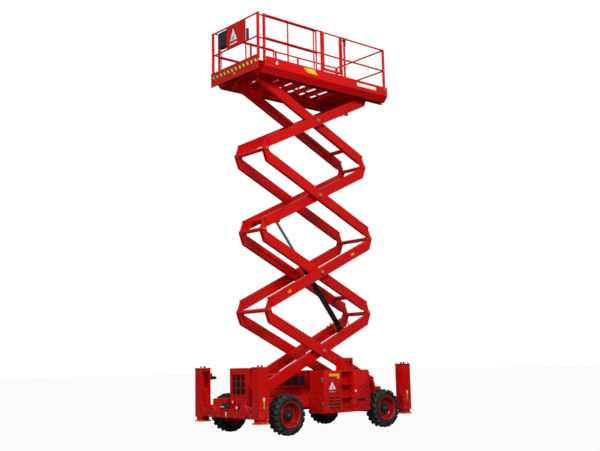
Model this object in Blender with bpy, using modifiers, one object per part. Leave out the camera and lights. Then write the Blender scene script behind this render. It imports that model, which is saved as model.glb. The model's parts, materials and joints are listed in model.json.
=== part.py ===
"""Scissor lift: a chassis on wheels with corner jacks, a stack of crossed arms and a railed platform.

Metres, +Z up, +X forward and +Y to the machine's left. The origin is on the ground between the wheels.
"""

import math

import bmesh
import bpy
from mathutils import Matrix, Vector

# Clearances
TOUCHING = 0.0003
RUNNING_GAP = 0.0006
ROLLER_GAP = 0.003
SIDE_CLEARANCE = 0.005
OVERLAP = 0.001

# Running gear
WHEELBASE = 2.86
TRACK = 1.98
TYRE_DIAMETER = 0.855
TYRE_WIDTH = 0.31
RIM_DIAMETER = 0.512
RIM_LIP = 0.0165
DISC_THICKNESS = 0.018
HUB_RADIUS = 0.105
HUB_PROUD = 0.095
STUB_RADIUS = 0.050
KNUCKLE_BOSS_RADIUS = 0.075
KINGPIN_OFFSET = 0.29
KINGPIN_RADIUS = 0.020
KNUCKLE_HALF = 0.045
YOKE_THICKNESS = 0.03
AXLE_DEPTH = 0.19
AXLE_WIDTH = 0.16

# Chassis
RAIL_INNER_Y = 0.42
RAIL_OUTER_Y = 0.60
RAIL_BOTTOM = 0.53
RAIL_TOP = 0.765
PAN_THICKNESS = 0.02
HOUSING_TO_AXLE = 0.57
HOUSING_LENGTH = 0.25
HOUSING_INNER_Y = 0.90
HOUSING_OUTER_Y = 1.135
HOUSING_BOTTOM = 0.37
HOUSING_TOP = 1.40
HOUSING_WALL = 0.012
RECESS_BOTTOM = 0.69
CAP_OVERHANG = 0.012
CAP_THICKNESS = 0.018
LEG_CLEARANCE = 0.012
GUIDE_DEPTH = 0.05
FOOT_SIZE = 0.25
FOOT_BOTTOM = 0.27
FOOT_THICKNESS = 0.03
LEG_TOP = 0.98
RAM_RADIUS = 0.035
BUMPER_BOTTOM = 0.38
BUMPER_TOP = 0.52
BUMPER_DEPTH = 0.12
BUMPER_HALF_WIDTH = 0.73
BUMPER_END_TOP = 0.64
CROSS_TUBE_DEPTH = 0.12
BOX_TO_TYRE = 0.0925
COVER_LENGTH = 0.49
LADDER_LENGTH = 0.375
DOOR_LENGTH = 0.495
BOX_INNER_Y = 0.64
BOX_OUTER_Y = 1.10
BOX_BOTTOM = 0.40
BOX_TOP = 1.30
BOX_WALL = 0.012
DOOR_THICKNESS = 0.0134
COVER_THICKNESS = 0.028
COVER_CORNER = 0.06
STEPS = 3
STEP_HEIGHT = 0.25
STEP_BOARD = 0.03
STEP_DEPTH = 0.16
GRAB_DEPTH = 0.165
GRAB_TOP = 1.574
GRILLE_BOX_REAR = 1.62
GRILLE_BOX_FRONT = 1.90
GRILLE_BOX_HALF_WIDTH = 0.325
GRILLE_BOX_TOP = 1.40
GRILLE_BARS = 0.013
GRILLE_CELLS = 3

# Scissor stack
STAGES = 4
HALF_ARM = 1.8087
REST_ANGLE = math.radians(29.47)
FRONT_PIN_X = 1.486
BASE_PIN_Z = 0.841
INNER_Y = 0.37
OUTER_Y = 0.50
BEAM_WIDTH = 0.09
BEAM_DEPTH = 0.225
PIN_OFFSET = 0.12
CORE_START = 0.15
TONGUE_REACH = 0.26
FORK_REACH = 0.36
BOSS_RADIUS = 0.065
PIN_RADIUS = 0.030
PIN_HEAD_RADIUS = 0.045
PIN_HEAD_THICKNESS = 0.010
TUBE_RADIUS = 0.045
BRACE_RADIUS = 0.050
BRACE_ALONG = 0.62
CENTRE_PIN_RADIUS = 0.034
CENTRE_WASHER_RADIUS = 0.070
PLATE_THICKNESS = 0.022
PLATE_PROUD = 0.003
TONGUE_THICKNESS = 0.040
ROLLER_RADIUS = 0.050
TRACK_INNER_Y = 0.56
TRACK_Y = 0.605
TRACK_WALL = 0.012

# Lift cylinder: places on an arm are along its pin line from its lower pin, then above that line
LOWER_PIN_ON_ARM = (2.97249, -0.09576)
UPPER_PIN_ON_ARM = (0.7322, -0.05801)
BARREL_RADIUS = 0.062
BARREL_LENGTH = 2.05
BARREL_FLOOR = 0.10
GLAND_PROUD = 0.008
ROD_RADIUS = 0.032
ROD_SHOWN_FROM = 1.115
EYE_RADIUS = 0.085
EYE_WIDTH = 0.10
ROD_EYE_RADIUS = 0.060
CYLINDER_PIN_RADIUS = 0.045
LOWER_LUG_THICKNESS = 0.08
UPPER_LUG_THICKNESS = 0.025
UPPER_LUG_Y = 0.075

# Platform
FLOOR_ABOVE_PIN = 0.0904
DECK_THICKNESS = 0.02
FRONT_DECK_DROP = 0.003
PLATFORM_FRONT = 1.762
PLATFORM_REAR = -2.10
PLATFORM_HALF_WIDTH = 0.885
SKIRT_THICKNESS = 0.019
SKIRT_FLANGE_Y = 0.74
TOE_HEIGHT = 0.105
SKIRT_DROP = 0.25
TRACK_DROP = 0.26
JOIST_PITCH = 0.37
JOISTS = 9
JOIST_HALF = 0.02
JOIST_DEPTH = 0.10
RAIL_INSET = 0.0445
RAIL_HEIGHT = 1.07
MID_RAIL_HEIGHT = 0.54
TUBE = 0.020
TUBE_END = 0.006
POST = 0.025
GATE_REAR = -0.59
GATE_FRONT = 0.02
GATE_HINGE_REACH = 0.035
GATE_LIFT = 0.165
EXTENSION_REACH = 0.193
EXTENSION_REAR = 0.10
EXTENSION_INSET = 0.051
EXTENSION_THICKNESS = 0.016
EXTENSION_LIFT = 0.006
FRONT_PANEL_DROP = 0.22
FRONT_PANEL_RISE = 0.108
SLOT_X = (1.40, 1.04, 0.67, 0.24, -0.13, -0.48, -0.85)
SLOT_Y = ((-0.58, -0.36), (-0.30, 0.10), (0.16, 0.58))
SLOT_WIDTH = 0.13
SLOT_TO_EDGE = 0.02
CONTROL_BOX_DEPTH = 0.12

# Facets
SIDES = 10
WHEEL_SIDES = 16
RAIL_SIDES = 8

RED = (0.52, 0.006, 0.006)
BLACK = (0.012, 0.012, 0.013)
STEEL = (0.42, 0.43, 0.44)
RUBBER = (0.02, 0.02, 0.02)

# Worked out from the sizes above
stage_height = 2 * HALF_ARM * math.sin(REST_ANGLE)
half_span = HALF_ARM * math.cos(REST_ANGLE)
centre_x = FRONT_PIN_X - half_span
rear_pin_x = FRONT_PIN_X - 2 * half_span
axle_x = WHEELBASE / 2
axle_z = TYRE_DIAMETER / 2
axle_top = RAIL_BOTTOM - TOUCHING
wheel_y = TRACK / 2
kingpin_y = wheel_y - KINGPIN_OFFSET
housing_x = axle_x + HOUSING_TO_AXLE
frame_end = housing_x + HOUSING_LENGTH
box_rear = -axle_x + TYRE_DIAMETER / 2 + BOX_TO_TYRE
ladder_rear = box_rear + COVER_LENGTH
door_rear = ladder_rear + LADDER_LENGTH
box_front = door_rear + DOOR_LENGTH
tube_inner_half = INNER_Y - BEAM_WIDTH / 2 - PLATE_PROUD - SIDE_CLEARANCE
tube_outer_half = OUTER_Y - BEAM_WIDTH / 2 - PLATE_PROUD - SIDE_CLEARANCE
floor_z = BASE_PIN_Z + STAGES * stage_height + FLOOR_ABOVE_PIN
deck_under = floor_z - DECK_THICKNESS
toe_top = floor_z + TOE_HEIGHT
skirt_bottom = floor_z - SKIRT_DROP
rail_y = PLATFORM_HALF_WIDTH - RAIL_INSET
rail_top = floor_z + RAIL_HEIGHT
rail_mid = floor_z + MID_RAIL_HEIGHT
extension_front = PLATFORM_FRONT + EXTENSION_REACH
extension_half = rail_y - EXTENSION_INSET
extension_low = floor_z + EXTENSION_LIFT


# Scene, collections and materials

for old in list(bpy.data.objects):
    bpy.data.objects.remove(old)

parts = bpy.data.collections.new("scissor_lift")
helpers = bpy.data.collections.new("construction")
bpy.context.scene.collection.children.link(parts)
bpy.context.scene.collection.children.link(helpers)


def finish(name, colour, roughness, metallic=0.0):
    material = bpy.data.materials.new(name)
    material.use_nodes = True
    shader = material.node_tree.nodes["Principled BSDF"]
    shader.inputs["Base Color"].default_value = (*colour, 1)
    shader.inputs["Roughness"].default_value = roughness
    shader.inputs["Metallic"].default_value = metallic
    return material


red_paint = finish("red_paint", RED, 0.3)
black_paint = finish("black_paint", BLACK, 0.4)
tyre_rubber = finish("tyre_rubber", RUBBER, 0.85)
bright_steel = finish("bright_steel", STEEL, 0.25, 1.0)
black_plastic = finish("black_plastic", BLACK, 0.5)


def body(name, pivot=(0, 0, 0), parent=None):
    """An empty on the body's joint axis; the body's pieces hang on it."""
    empty = bpy.data.objects.new(name, None)
    parts.objects.link(empty)
    empty["pivot"] = pivot
    empty.parent = parent
    origin = Vector(parent["pivot"]) if parent else Vector()
    empty.location = Vector(pivot) - origin
    return empty


# Shapes, all built in place

def mirrored(side, a, b):
    """The span from a to b on the side's own half: side is 1 for left or front, -1 for right or rear."""
    return sorted((side * a, side * b))


def about(middle, half):
    return (middle - half, middle + half)


def solid(bm):
    mesh = bpy.data.meshes.new("piece")
    bmesh.ops.recalc_face_normals(bm, faces=bm.faces)
    bm.to_mesh(mesh)
    bm.free()
    return bpy.data.objects.new("piece", mesh)


def block(x, y, z):
    """A box from its (low, high) pairs."""
    bm = bmesh.new()
    bmesh.ops.create_cube(bm, size=1)
    size = Matrix.Diagonal((x[1] - x[0], y[1] - y[0], z[1] - z[0], 1))
    centre = Matrix.Translation(((x[0] + x[1]) / 2, (y[0] + y[1]) / 2, (z[0] + z[1]) / 2))
    bmesh.ops.transform(bm, matrix=centre @ size, verts=bm.verts)
    return solid(bm)


def bar(start, end, radius, sides=SIDES, facets_turned=0.0):
    """A round bar between two points, its facets turned by a share of one facet."""
    start, end = Vector(start), Vector(end)
    run = end - start
    bm = bmesh.new()
    bmesh.ops.create_cone(bm, cap_ends=True, segments=sides, radius1=radius, radius2=radius, depth=run.length)
    turn = run.to_track_quat("Z", "Y").to_matrix().to_4x4()
    turn @= Matrix.Rotation(2 * math.pi / sides * facets_turned, 4, "Z")
    bmesh.ops.transform(bm, matrix=Matrix.Translation((start + end) / 2) @ turn, verts=bm.verts)
    return solid(bm)


def bore_radius(shaft_radius, sides):
    """Corner radius of a faceted hole whose flats clear the shaft all round."""
    return (shaft_radius + RUNNING_GAP) / math.cos(math.pi / sides)


def bore(start, end, shaft_radius, sides=SIDES):
    """The cutter for a shaft's hole: its flats face the shaft's corners, so the shaft turns free in it."""
    return bar(start, end, bore_radius(shaft_radius, sides), sides, 0.5)


PLANES = {
    "y": Matrix(((1, 0, 0, 0), (0, 0, -1, 0), (0, 1, 0, 0), (0, 0, 0, 1))),
    "x": Matrix(((0, 0, 1, 0), (1, 0, 0, 0), (0, 1, 0, 0), (0, 0, 0, 1))),
    "z": Matrix.Identity(4),
}


def plate(outline, normal, low, high, holes=()):
    """A flat outline with its holes, as thick as low to high along the axis that it faces.

    An outline facing x is (y, z), one facing y is (x, z) and one facing z is (x, y).
    """
    curve = bpy.data.curves.new("outline", "CURVE")
    curve.dimensions = "2D"
    curve.fill_mode = "BOTH"
    curve.extrude = (high - low) / 2
    for loop in (outline, *holes):
        spline = curve.splines.new("POLY")
        spline.points.add(len(loop) - 1)
        for point, (u, v) in zip(spline.points, loop):
            point.co = (u, v, 0, 1)
        spline.use_cyclic_u = True
    flat = bpy.data.objects.new("outline", curve)
    mesh = bpy.data.meshes.new_from_object(flat)
    bpy.data.objects.remove(flat)
    middle = (low + high) / 2
    away = {"y": (0, middle, 0), "x": (middle, 0, 0), "z": (0, 0, middle)}[normal]
    bm = bmesh.new()
    bm.from_mesh(mesh)
    bpy.data.meshes.remove(mesh)
    bmesh.ops.remove_doubles(bm, verts=bm.verts, dist=0.00001)
    bmesh.ops.transform(bm, matrix=Matrix.Translation(away) @ PLANES[normal], verts=bm.verts)
    return solid(bm)


def arc(centre, radius, steps, start_degrees, sweep_degrees):
    """Points on an arc, both ends included."""
    angles = [math.radians(start_degrees + sweep_degrees * i / steps) for i in range(steps + 1)]
    return [(centre[0] + radius * math.cos(a), centre[1] + radius * math.sin(a)) for a in angles]


def strap(a, radius_a, b, radius_b):
    """The outline of a strap round two circles."""
    direction = math.degrees(math.atan2(b[1] - a[1], b[0] - a[0]))
    return arc(a, radius_a, 4, direction + 90, 180) + arc(b, radius_b, 4, direction - 90, 180)


def rectangle(u, v):
    return [(u[0], v[0]), (u[1], v[0]), (u[1], v[1]), (u[0], v[1])]


def show(piece, name, material, owner):
    """Names a piece, gives it its finish and hangs it on its body with its origin on the joint."""
    piece.name = name
    piece.data.name = name
    piece.data.materials.append(material)
    piece.data.transform(Matrix.Translation(-Vector(owner["pivot"])))
    piece.parent = owner
    parts.objects.link(piece)
    return piece


def group_of(name, pieces):
    group = bpy.data.collections.new(name)
    helpers.children.link(group)
    for piece in pieces:
        piece.name = name
        piece.hide_render = True
        piece.display_type = "WIRE"
        group.objects.link(piece)
    return group


def weld(name, material, owner, pieces, cuts=()):
    """One solid from overlapping pieces, less the cutters."""
    base = show(pieces[0], name, material, owner)
    for label, operation, others in (("weld", "UNION", pieces[1:]), ("cut", "DIFFERENCE", cuts)):
        if not others:
            continue
        modifier = base.modifiers.new(label, "BOOLEAN")
        modifier.operation = operation
        modifier.operand_type = "COLLECTION"
        modifier.collection = group_of(f"{name}_{label}", others)


def turned(name, material, owner, profile, place, closed=False):
    """A wheel piece: a profile of (radius, height) spun about its own Z axis, laid along Y; place is its centre."""
    mesh = bpy.data.meshes.new(name)
    bm = bmesh.new()
    points = [bm.verts.new((r, 0, h)) for r, h in profile]
    for a, b in zip(points, points[1:] + points[:1] if closed else points[1:]):
        bm.edges.new((a, b))
    bm.to_mesh(mesh)
    bm.free()
    piece = bpy.data.objects.new(name, mesh)
    parts.objects.link(piece)
    mesh.materials.append(material)
    piece.parent = owner
    piece.location = Vector(place) - Vector(owner["pivot"])
    outward = 1 if place[1] > 0 else -1
    piece.rotation_euler = (-math.pi / 2 * outward, 0, 0)
    spin = piece.modifiers.new("spin", "SCREW")
    spin.steps = WHEEL_SIDES
    spin.render_steps = WHEEL_SIDES
    spin.use_merge_vertices = True
    spin.merge_threshold = 0.0001


# Where the arms' pins are

def pin(level, end):
    """A pin at the front or rear of a joint level; level 0 is on the chassis and the last is under the platform."""
    x = FRONT_PIN_X if end == "front" else rear_pin_x
    return (x, 0.0, BASE_PIN_Z + level * stage_height)


def centre_pin(stage):
    return (centre_x, 0.0, BASE_PIN_Z + (stage - 0.5) * stage_height)


def arm_frame(points, rising_forward, stage):
    """Arm coordinates (along the pin line from its lower pin, above it) turned into the (x, z) plane."""
    lower_x = rear_pin_x if rising_forward else FRONT_PIN_X
    lower_z = BASE_PIN_Z + (stage - 1) * stage_height
    along = (math.cos(REST_ANGLE) * (1 if rising_forward else -1), math.sin(REST_ANGLE))
    above = (-along[1], along[0]) if rising_forward else (along[1], -along[0])
    return [(lower_x + u * along[0] + v * above[0], lower_z + u * along[1] + v * above[1]) for u, v in points]


def on_inner_arm(stage, place):
    (x, z), = arm_frame([place], stage % 2 == 0, stage)
    return (x, 0.0, z)


lower_pin = on_inner_arm(1, LOWER_PIN_ON_ARM)
upper_pin = on_inner_arm(3, UPPER_PIN_ON_ARM)


# Bodies, in one tree

root = body("chassis")
inner = {1: body("inner_arms_1_body", pin(0, "front"), root)}
outer = {1: body("outer_arms_1_body", centre_pin(1), inner[1])}
for stage in range(2, STAGES + 1):
    joint_end = "rear" if stage % 2 == 0 else "front"
    inner[stage] = body(f"inner_arms_{stage}_body", pin(stage - 1, joint_end), inner[stage - 1])
    outer[stage] = body(f"outer_arms_{stage}_body", centre_pin(stage), inner[stage])
barrel_body = body("lift_cylinder_body", lower_pin, inner[1])
rod_body = body("lift_rod_body", upper_pin, barrel_body)
platform = body("platform_body", pin(STAGES, "front"), inner[STAGES])
extension = body("extension_body", (extension_front, 0, floor_z), platform)


# Running gear

def rim_profile():
    seat = RIM_DIAMETER / 2
    lip = seat + RIM_LIP
    dish = seat - 0.012
    half = TYRE_WIDTH / 2
    inside = bore_radius(STUB_RADIUS, WHEEL_SIDES)
    pocket = HUB_PROUD - 0.045
    return [
        (0, HUB_PROUD), (HUB_RADIUS - 0.01, HUB_PROUD), (HUB_RADIUS, HUB_PROUD - 0.015), (HUB_RADIUS, 0.045),
        (dish, 0.03), (dish + 0.006, half - 0.012), (lip, half), (lip, half - 0.008),
        (seat, half - 0.012), (seat, -half + 0.012), (lip, -half + 0.008), (lip, -half), (dish, -half + 0.005),
        (dish, 0.03 - DISC_THICKNESS), (HUB_RADIUS, 0.03 - DISC_THICKNESS), (HUB_RADIUS - 0.015, -0.12),
        (inside, -0.12), (inside, pocket), (0, pocket),
    ]


def tyre_profile():
    bead = RIM_DIAMETER / 2 + 2 * TOUCHING
    top = TYRE_DIAMETER / 2
    half = TYRE_WIDTH / 2
    side = [
        (bead, half - 0.016), (bead + 0.03, half - 0.016), (bead + 0.055, half - 0.003), (bead + 0.10, half),
        (top - 0.022, half - 0.007), (top, half - 0.035),
    ]
    return side + [(r, -h) for r, h in reversed(side)]


def wheel(name, x, side, owner):
    place = (x, side * wheel_y, axle_z)
    own = body(f"wheel_{name}_body", place, owner)
    turned(f"rim_{name}", red_paint, own, rim_profile(), place)
    turned(f"tyre_{name}", tyre_rubber, own, tyre_profile(), place, closed=True)


def stub(x, side, start):
    """The wheel's shaft, from its root at start into the hub."""
    return bar((x, side * start, axle_z), (x, side * (wheel_y + 0.04), axle_z), STUB_RADIUS, WHEEL_SIDES, 0.5)


def front_axle():
    x = axle_x
    bottom = axle_top - AXLE_DEPTH
    beam_end = kingpin_y - 0.085
    lug_end = kingpin_y + KNUCKLE_HALF
    pieces = [block(about(x, AXLE_WIDTH / 2), (-beam_end, beam_end), (bottom, axle_top))]
    bores = []
    for side in (-1, 1):
        y = mirrored(side, beam_end - 0.015, lug_end)
        pieces.append(block(about(x, 0.05), y, (axle_top - YOKE_THICKNESS, axle_top - OVERLAP)))
        pieces.append(block(about(x, 0.05), y, (bottom + OVERLAP, bottom + YOKE_THICKNESS)))
        ends = [(x, side * kingpin_y, z) for z in (bottom - YOKE_THICKNESS, axle_top + YOKE_THICKNESS)]
        bores.append(bore(*ends, KINGPIN_RADIUS))
    weld("front_axle", black_paint, root, pieces, bores)
    for side, hand in ((1, "left"), (-1, "right")):
        own = body(f"knuckle_{hand}_body", (x, side * kingpin_y, axle_z), root)
        reach = kingpin_y + 0.095
        pieces = [
            block(
                about(x, KNUCKLE_HALF),
                mirrored(side, kingpin_y - 0.04, kingpin_y + 0.05),
                (bottom + YOKE_THICKNESS + SIDE_CLEARANCE, axle_top - YOKE_THICKNESS - SIDE_CLEARANCE),
            ),
            bar((x, side * kingpin_y, bottom - 0.004), (x, side * kingpin_y, axle_top), KINGPIN_RADIUS),
            bar((x, side * reach, axle_z), (x, side * (reach + 0.05), axle_z), KNUCKLE_BOSS_RADIUS),
            stub(x, side, kingpin_y + 0.04),
        ]
        weld(f"steering_knuckle_{hand}", black_paint, own, pieces)
        wheel(f"front_{hand}", x, side, own)


def rear_axle():
    x = -axle_x
    beam_end = wheel_y - 0.19
    pieces = [block(about(x, AXLE_WIDTH / 2), (-beam_end, beam_end), (axle_top - AXLE_DEPTH, axle_top))]
    for side in (-1, 1):
        root_y = side * (beam_end - 0.01)
        pieces.append(bar((x, root_y, axle_z), (x, side * (beam_end + 0.04), axle_z), KNUCKLE_BOSS_RADIUS))
        pieces.append(stub(x, side, beam_end + 0.02))
    weld("rear_axle", black_paint, root, pieces)
    for side, hand in ((1, "left"), (-1, "right")):
        wheel(f"rear_{hand}", x, side, root)


# Chassis

def roller_track(side, x, lip_x, roller_z, shelf_bottom):
    """A shelf under the roller, with a wall beside it and a lip over it where it runs with the arms raised."""
    shelf = roller_z - ROLLER_RADIUS - ROLLER_GAP
    lip = roller_z + ROLLER_RADIUS + ROLLER_GAP
    wall = mirrored(side, TRACK_Y, TRACK_Y + TRACK_WALL)
    return [
        block(x, mirrored(side, TRACK_INNER_Y, TRACK_Y + TRACK_WALL), (shelf_bottom, shelf)),
        block((lip_x + OVERLAP, x[1] - OVERLAP), wall, (shelf - 0.01, lip + TRACK_WALL)),
        block(
            (lip_x + 2 * OVERLAP, x[1] - 2 * OVERLAP),
            mirrored(side, TRACK_INNER_Y, TRACK_Y + 0.004),
            (lip, lip + TRACK_WALL - OVERLAP),
        ),
    ]


def front_pin_ears(side):
    """Two ears either side of the first inner arm's tongue."""
    foot = 0.10
    outline = rectangle(about(FRONT_PIN_X, foot), (RAIL_TOP - 0.05, RAIL_TOP))[:2]
    outline += arc((FRONT_PIN_X, BASE_PIN_Z), BOSS_RADIUS, 5, 0, 180)
    inside = INNER_Y - BEAM_WIDTH / 2 - PLATE_PROUD
    outside = INNER_Y + TONGUE_THICKNESS / 2 + SIDE_CLEARANCE + OVERLAP
    spans = ((inside, inside + PLATE_THICKNESS), (outside, outside + PLATE_THICKNESS))
    return [plate(outline, "y", *mirrored(side, *span)) for span in spans]


def bumper(end):
    """Cross tube between the jacks, with a beam in front of it whose ends rise and are rounded."""
    front = frame_end if end > 0 else -frame_end
    middle = (BUMPER_BOTTOM + BUMPER_END_TOP) / 2
    radius = (BUMPER_END_TOP - BUMPER_BOTTOM) / 2
    round_y = BUMPER_HALF_WIDTH - radius
    shoulder = round_y - 0.18
    outline = arc((round_y, middle), radius, 6, -90, 180) + [(round_y - 0.06, BUMPER_END_TOP), (shoulder, BUMPER_TOP)]
    outline += [(-y, z) for y, z in reversed(outline)]
    tube = mirrored(end, frame_end - 0.03 - CROSS_TUBE_DEPTH, frame_end - 0.03)
    reach = HOUSING_INNER_Y - TOUCHING
    return [
        plate(outline, "x", *sorted((front, front - end * BUMPER_DEPTH))),
        block(tube, (-reach, reach), (BUMPER_BOTTOM + 0.01, BUMPER_TOP - 0.01)),
    ]


def chassis_frame():
    pan_top = RAIL_BOTTOM + PAN_THICKNESS
    rail_end = frame_end - 0.10
    track_end = -0.35
    width = RAIL_INNER_Y + 0.03
    pieces = [block((-rail_end, rail_end), (-width + 0.01, width - 0.01), (RAIL_BOTTOM + OVERLAP, pan_top))]
    for side in (-1, 1):
        rail = mirrored(side, RAIL_INNER_Y, RAIL_OUTER_Y)
        pieces.append(block((-rail_end, rail_end), rail, (RAIL_BOTTOM, RAIL_TOP)))
        pieces += roller_track(side, (-rail_end, track_end), rear_pin_x - 0.12, BASE_PIN_Z, RAIL_TOP - 0.02)
        pieces += front_pin_ears(side)
        for x in (box_front - 0.20, box_rear + 0.21):
            outrigger = mirrored(side, RAIL_OUTER_Y - 0.01, BOX_INNER_Y - TOUCHING)
            pieces.append(block(about(x, 0.06), outrigger, (RAIL_BOTTOM + 0.03, RAIL_TOP - 0.035)))
    for end in (-1, 1):
        pieces += bumper(end)
    pieces.append(block(about(FRONT_PIN_X, 0.12), (-width, width), (pan_top - 0.01, RAIL_TOP - 0.002)))
    for x in (0.0, -axle_x):
        pieces.append(block(about(x, 0.06), (-width, width), (pan_top - 0.01, RAIL_TOP - 0.06)))
    bolt = bore((FRONT_PIN_X, -width, BASE_PIN_Z), (FRONT_PIN_X, width, BASE_PIN_Z), PIN_RADIUS)
    weld("chassis_frame", red_paint, root, pieces, [bolt])


def jack(end, fore, side, hand):
    """A corner jack: a square leg slides down out of a housing that is open on its inner side."""
    wall = HOUSING_WALL
    top = HOUSING_TOP

    def ring_box(inset, low, high):
        return block(
            mirrored(end, housing_x + inset, frame_end - inset),
            mirrored(side, HOUSING_INNER_Y + inset, HOUSING_OUTER_Y - inset),
            (low, high),
        )

    cap = block(
        mirrored(end, housing_x - CAP_OVERHANG, frame_end + CAP_OVERHANG),
        mirrored(side, HOUSING_INNER_Y - CAP_OVERHANG, HOUSING_OUTER_Y + CAP_OVERHANG - 0.004),
        (top - OVERLAP, top + CAP_THICKNESS),
    )
    recess = block(
        mirrored(end, housing_x + 0.02, frame_end - 0.03),
        mirrored(side, HOUSING_INNER_Y - 0.01, HOUSING_INNER_Y + wall + 0.01),
        (RECESS_BOTTOM, top - 0.05),
    )
    guide = wall + LEG_CLEARANCE - RUNNING_GAP
    cuts = [ring_box(wall, HOUSING_BOTTOM + GUIDE_DEPTH, top - 0.03), ring_box(guide, 0.0, top - 0.04), recess]
    pieces = [ring_box(0.0, HOUSING_BOTTOM, top), cap]
    weld(f"jack_housing_{fore}_{hand}", red_paint, root, pieces, cuts)

    x = end * (housing_x + frame_end) / 2
    y = side * (HOUSING_INNER_Y + HOUSING_OUTER_Y) / 2
    own = body(f"jack_{fore}_{hand}_body", (x, y, FOOT_BOTTOM), root)
    foot_top = FOOT_BOTTOM + FOOT_THICKNESS
    leg = [
        ring_box(wall + LEG_CLEARANCE, foot_top - OVERLAP, LEG_TOP),
        bar((x, y, LEG_TOP - 0.01), (x, y, top - 0.06), RAM_RADIUS),
        block(about(x, FOOT_SIZE / 2), about(y, FOOT_SIZE / 2), (FOOT_BOTTOM, foot_top)),
    ]
    weld(f"jack_leg_{fore}_{hand}", red_paint, own, leg)


def side_box(side, hand):
    """Equipment box between the wheels: a doored compartment ahead, steps in the middle and a closed bay behind."""
    wall = BOX_WALL
    pieces = [block((box_rear, box_front), mirrored(side, BOX_INNER_Y, BOX_OUTER_Y), (BOX_BOTTOM, BOX_TOP))]
    room = mirrored(side, BOX_INNER_Y + wall, BOX_OUTER_Y + 0.01)
    cuts = [block((door_rear + 0.02, box_front - wall), room, (BOX_BOTTOM + wall, BOX_TOP - wall))]
    tread = mirrored(side, BOX_OUTER_Y - STEP_DEPTH, BOX_OUTER_Y + 0.01)
    for i in range(STEPS):
        low = BOX_BOTTOM + 0.06 + i * (STEP_HEIGHT + STEP_BOARD)
        cuts.append(block((ladder_rear + STEP_BOARD, door_rear - STEP_BOARD), tread, (low, low + STEP_HEIGHT)))
    weld(f"side_box_{hand}", red_paint, root, pieces, cuts)

    hinge_x = box_front - 0.003
    hinge = (hinge_x, side * (BOX_OUTER_Y + 0.008), (BOX_BOTTOM + BOX_TOP) / 2)
    own = body(f"box_door_{hand}_body", hinge, root)
    leaf = mirrored(side, BOX_OUTER_Y + RUNNING_GAP, BOX_OUTER_Y + RUNNING_GAP + DOOR_THICKNESS)
    door = block((door_rear, hinge_x), leaf, (BOX_BOTTOM + 0.006, BOX_TOP - 0.006))
    show(door, f"box_door_{hand}", red_paint, own)

    low, high = BOX_BOTTOM + 0.02, BOX_TOP - 0.005
    corner = (box_rear + 0.005 + COVER_CORNER, high - COVER_CORNER)
    outline = [(box_rear + 0.005, low), (ladder_rear - 0.005, low), (ladder_rear - 0.005, high)]
    outline += arc(corner, COVER_CORNER, 5, 90, 90)
    cover = plate(outline, "y", *mirrored(side, BOX_OUTER_Y + TOUCHING, BOX_OUTER_Y + COVER_THICKNESS))
    show(cover, f"box_cover_{hand}", red_paint, root)

    unit = mirrored(side, BOX_INNER_Y + wall + 0.02, BOX_OUTER_Y - 0.08)
    inside = block((door_rear + 0.075, box_front - 0.06), unit, (BOX_BOTTOM + wall + TOUCHING, BOX_TOP - 0.2))
    show(inside, "hydraulic_tank" if side > 0 else "engine", black_paint, root)


def hose_guard():
    """Curved plate behind the left box, down in front of the rear tyre."""
    thickness = 0.012
    reach = 0.20
    drop = 0.34
    centre = (box_rear - TOUCHING, BOX_TOP - 0.19 - drop)
    outside = [(centre[0] - reach * math.sin(a), centre[1] + drop * math.cos(a)) for a in QUARTER]
    inside = [
        (centre[0] - (reach - thickness) * math.sin(a), centre[1] + (drop - thickness) * math.cos(a))
        for a in QUARTER
    ]
    guard = plate(outside + inside[::-1], "y", BOX_OUTER_Y - 0.16, BOX_OUTER_Y - 0.02)
    show(guard, "hose_guard", red_paint, root)


QUARTER = [math.radians(15 * i) for i in range(7)]


def grab_frame():
    """Raised hand hold over the left steps: a short open box with a window through it."""
    x = (ladder_rear - 0.01, door_rear - 0.035)
    low = BOX_TOP + TOUCHING
    shell = block(x, (BOX_OUTER_Y - GRAB_DEPTH, BOX_OUTER_Y), (low, GRAB_TOP))
    through = (BOX_OUTER_Y - GRAB_DEPTH - 0.01, BOX_OUTER_Y + 0.01)
    hold = block((x[0] + 0.035, x[0] + 0.115), through, (low + 0.075, GRAB_TOP - 0.065))
    slot = block((x[0] + 0.15, x[0] + 0.23), (BOX_OUTER_Y - 0.04, BOX_OUTER_Y + 0.01), (low + 0.10, GRAB_TOP - 0.07))
    weld("grab_frame", red_paint, root, [shell], [hold, slot])


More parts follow.
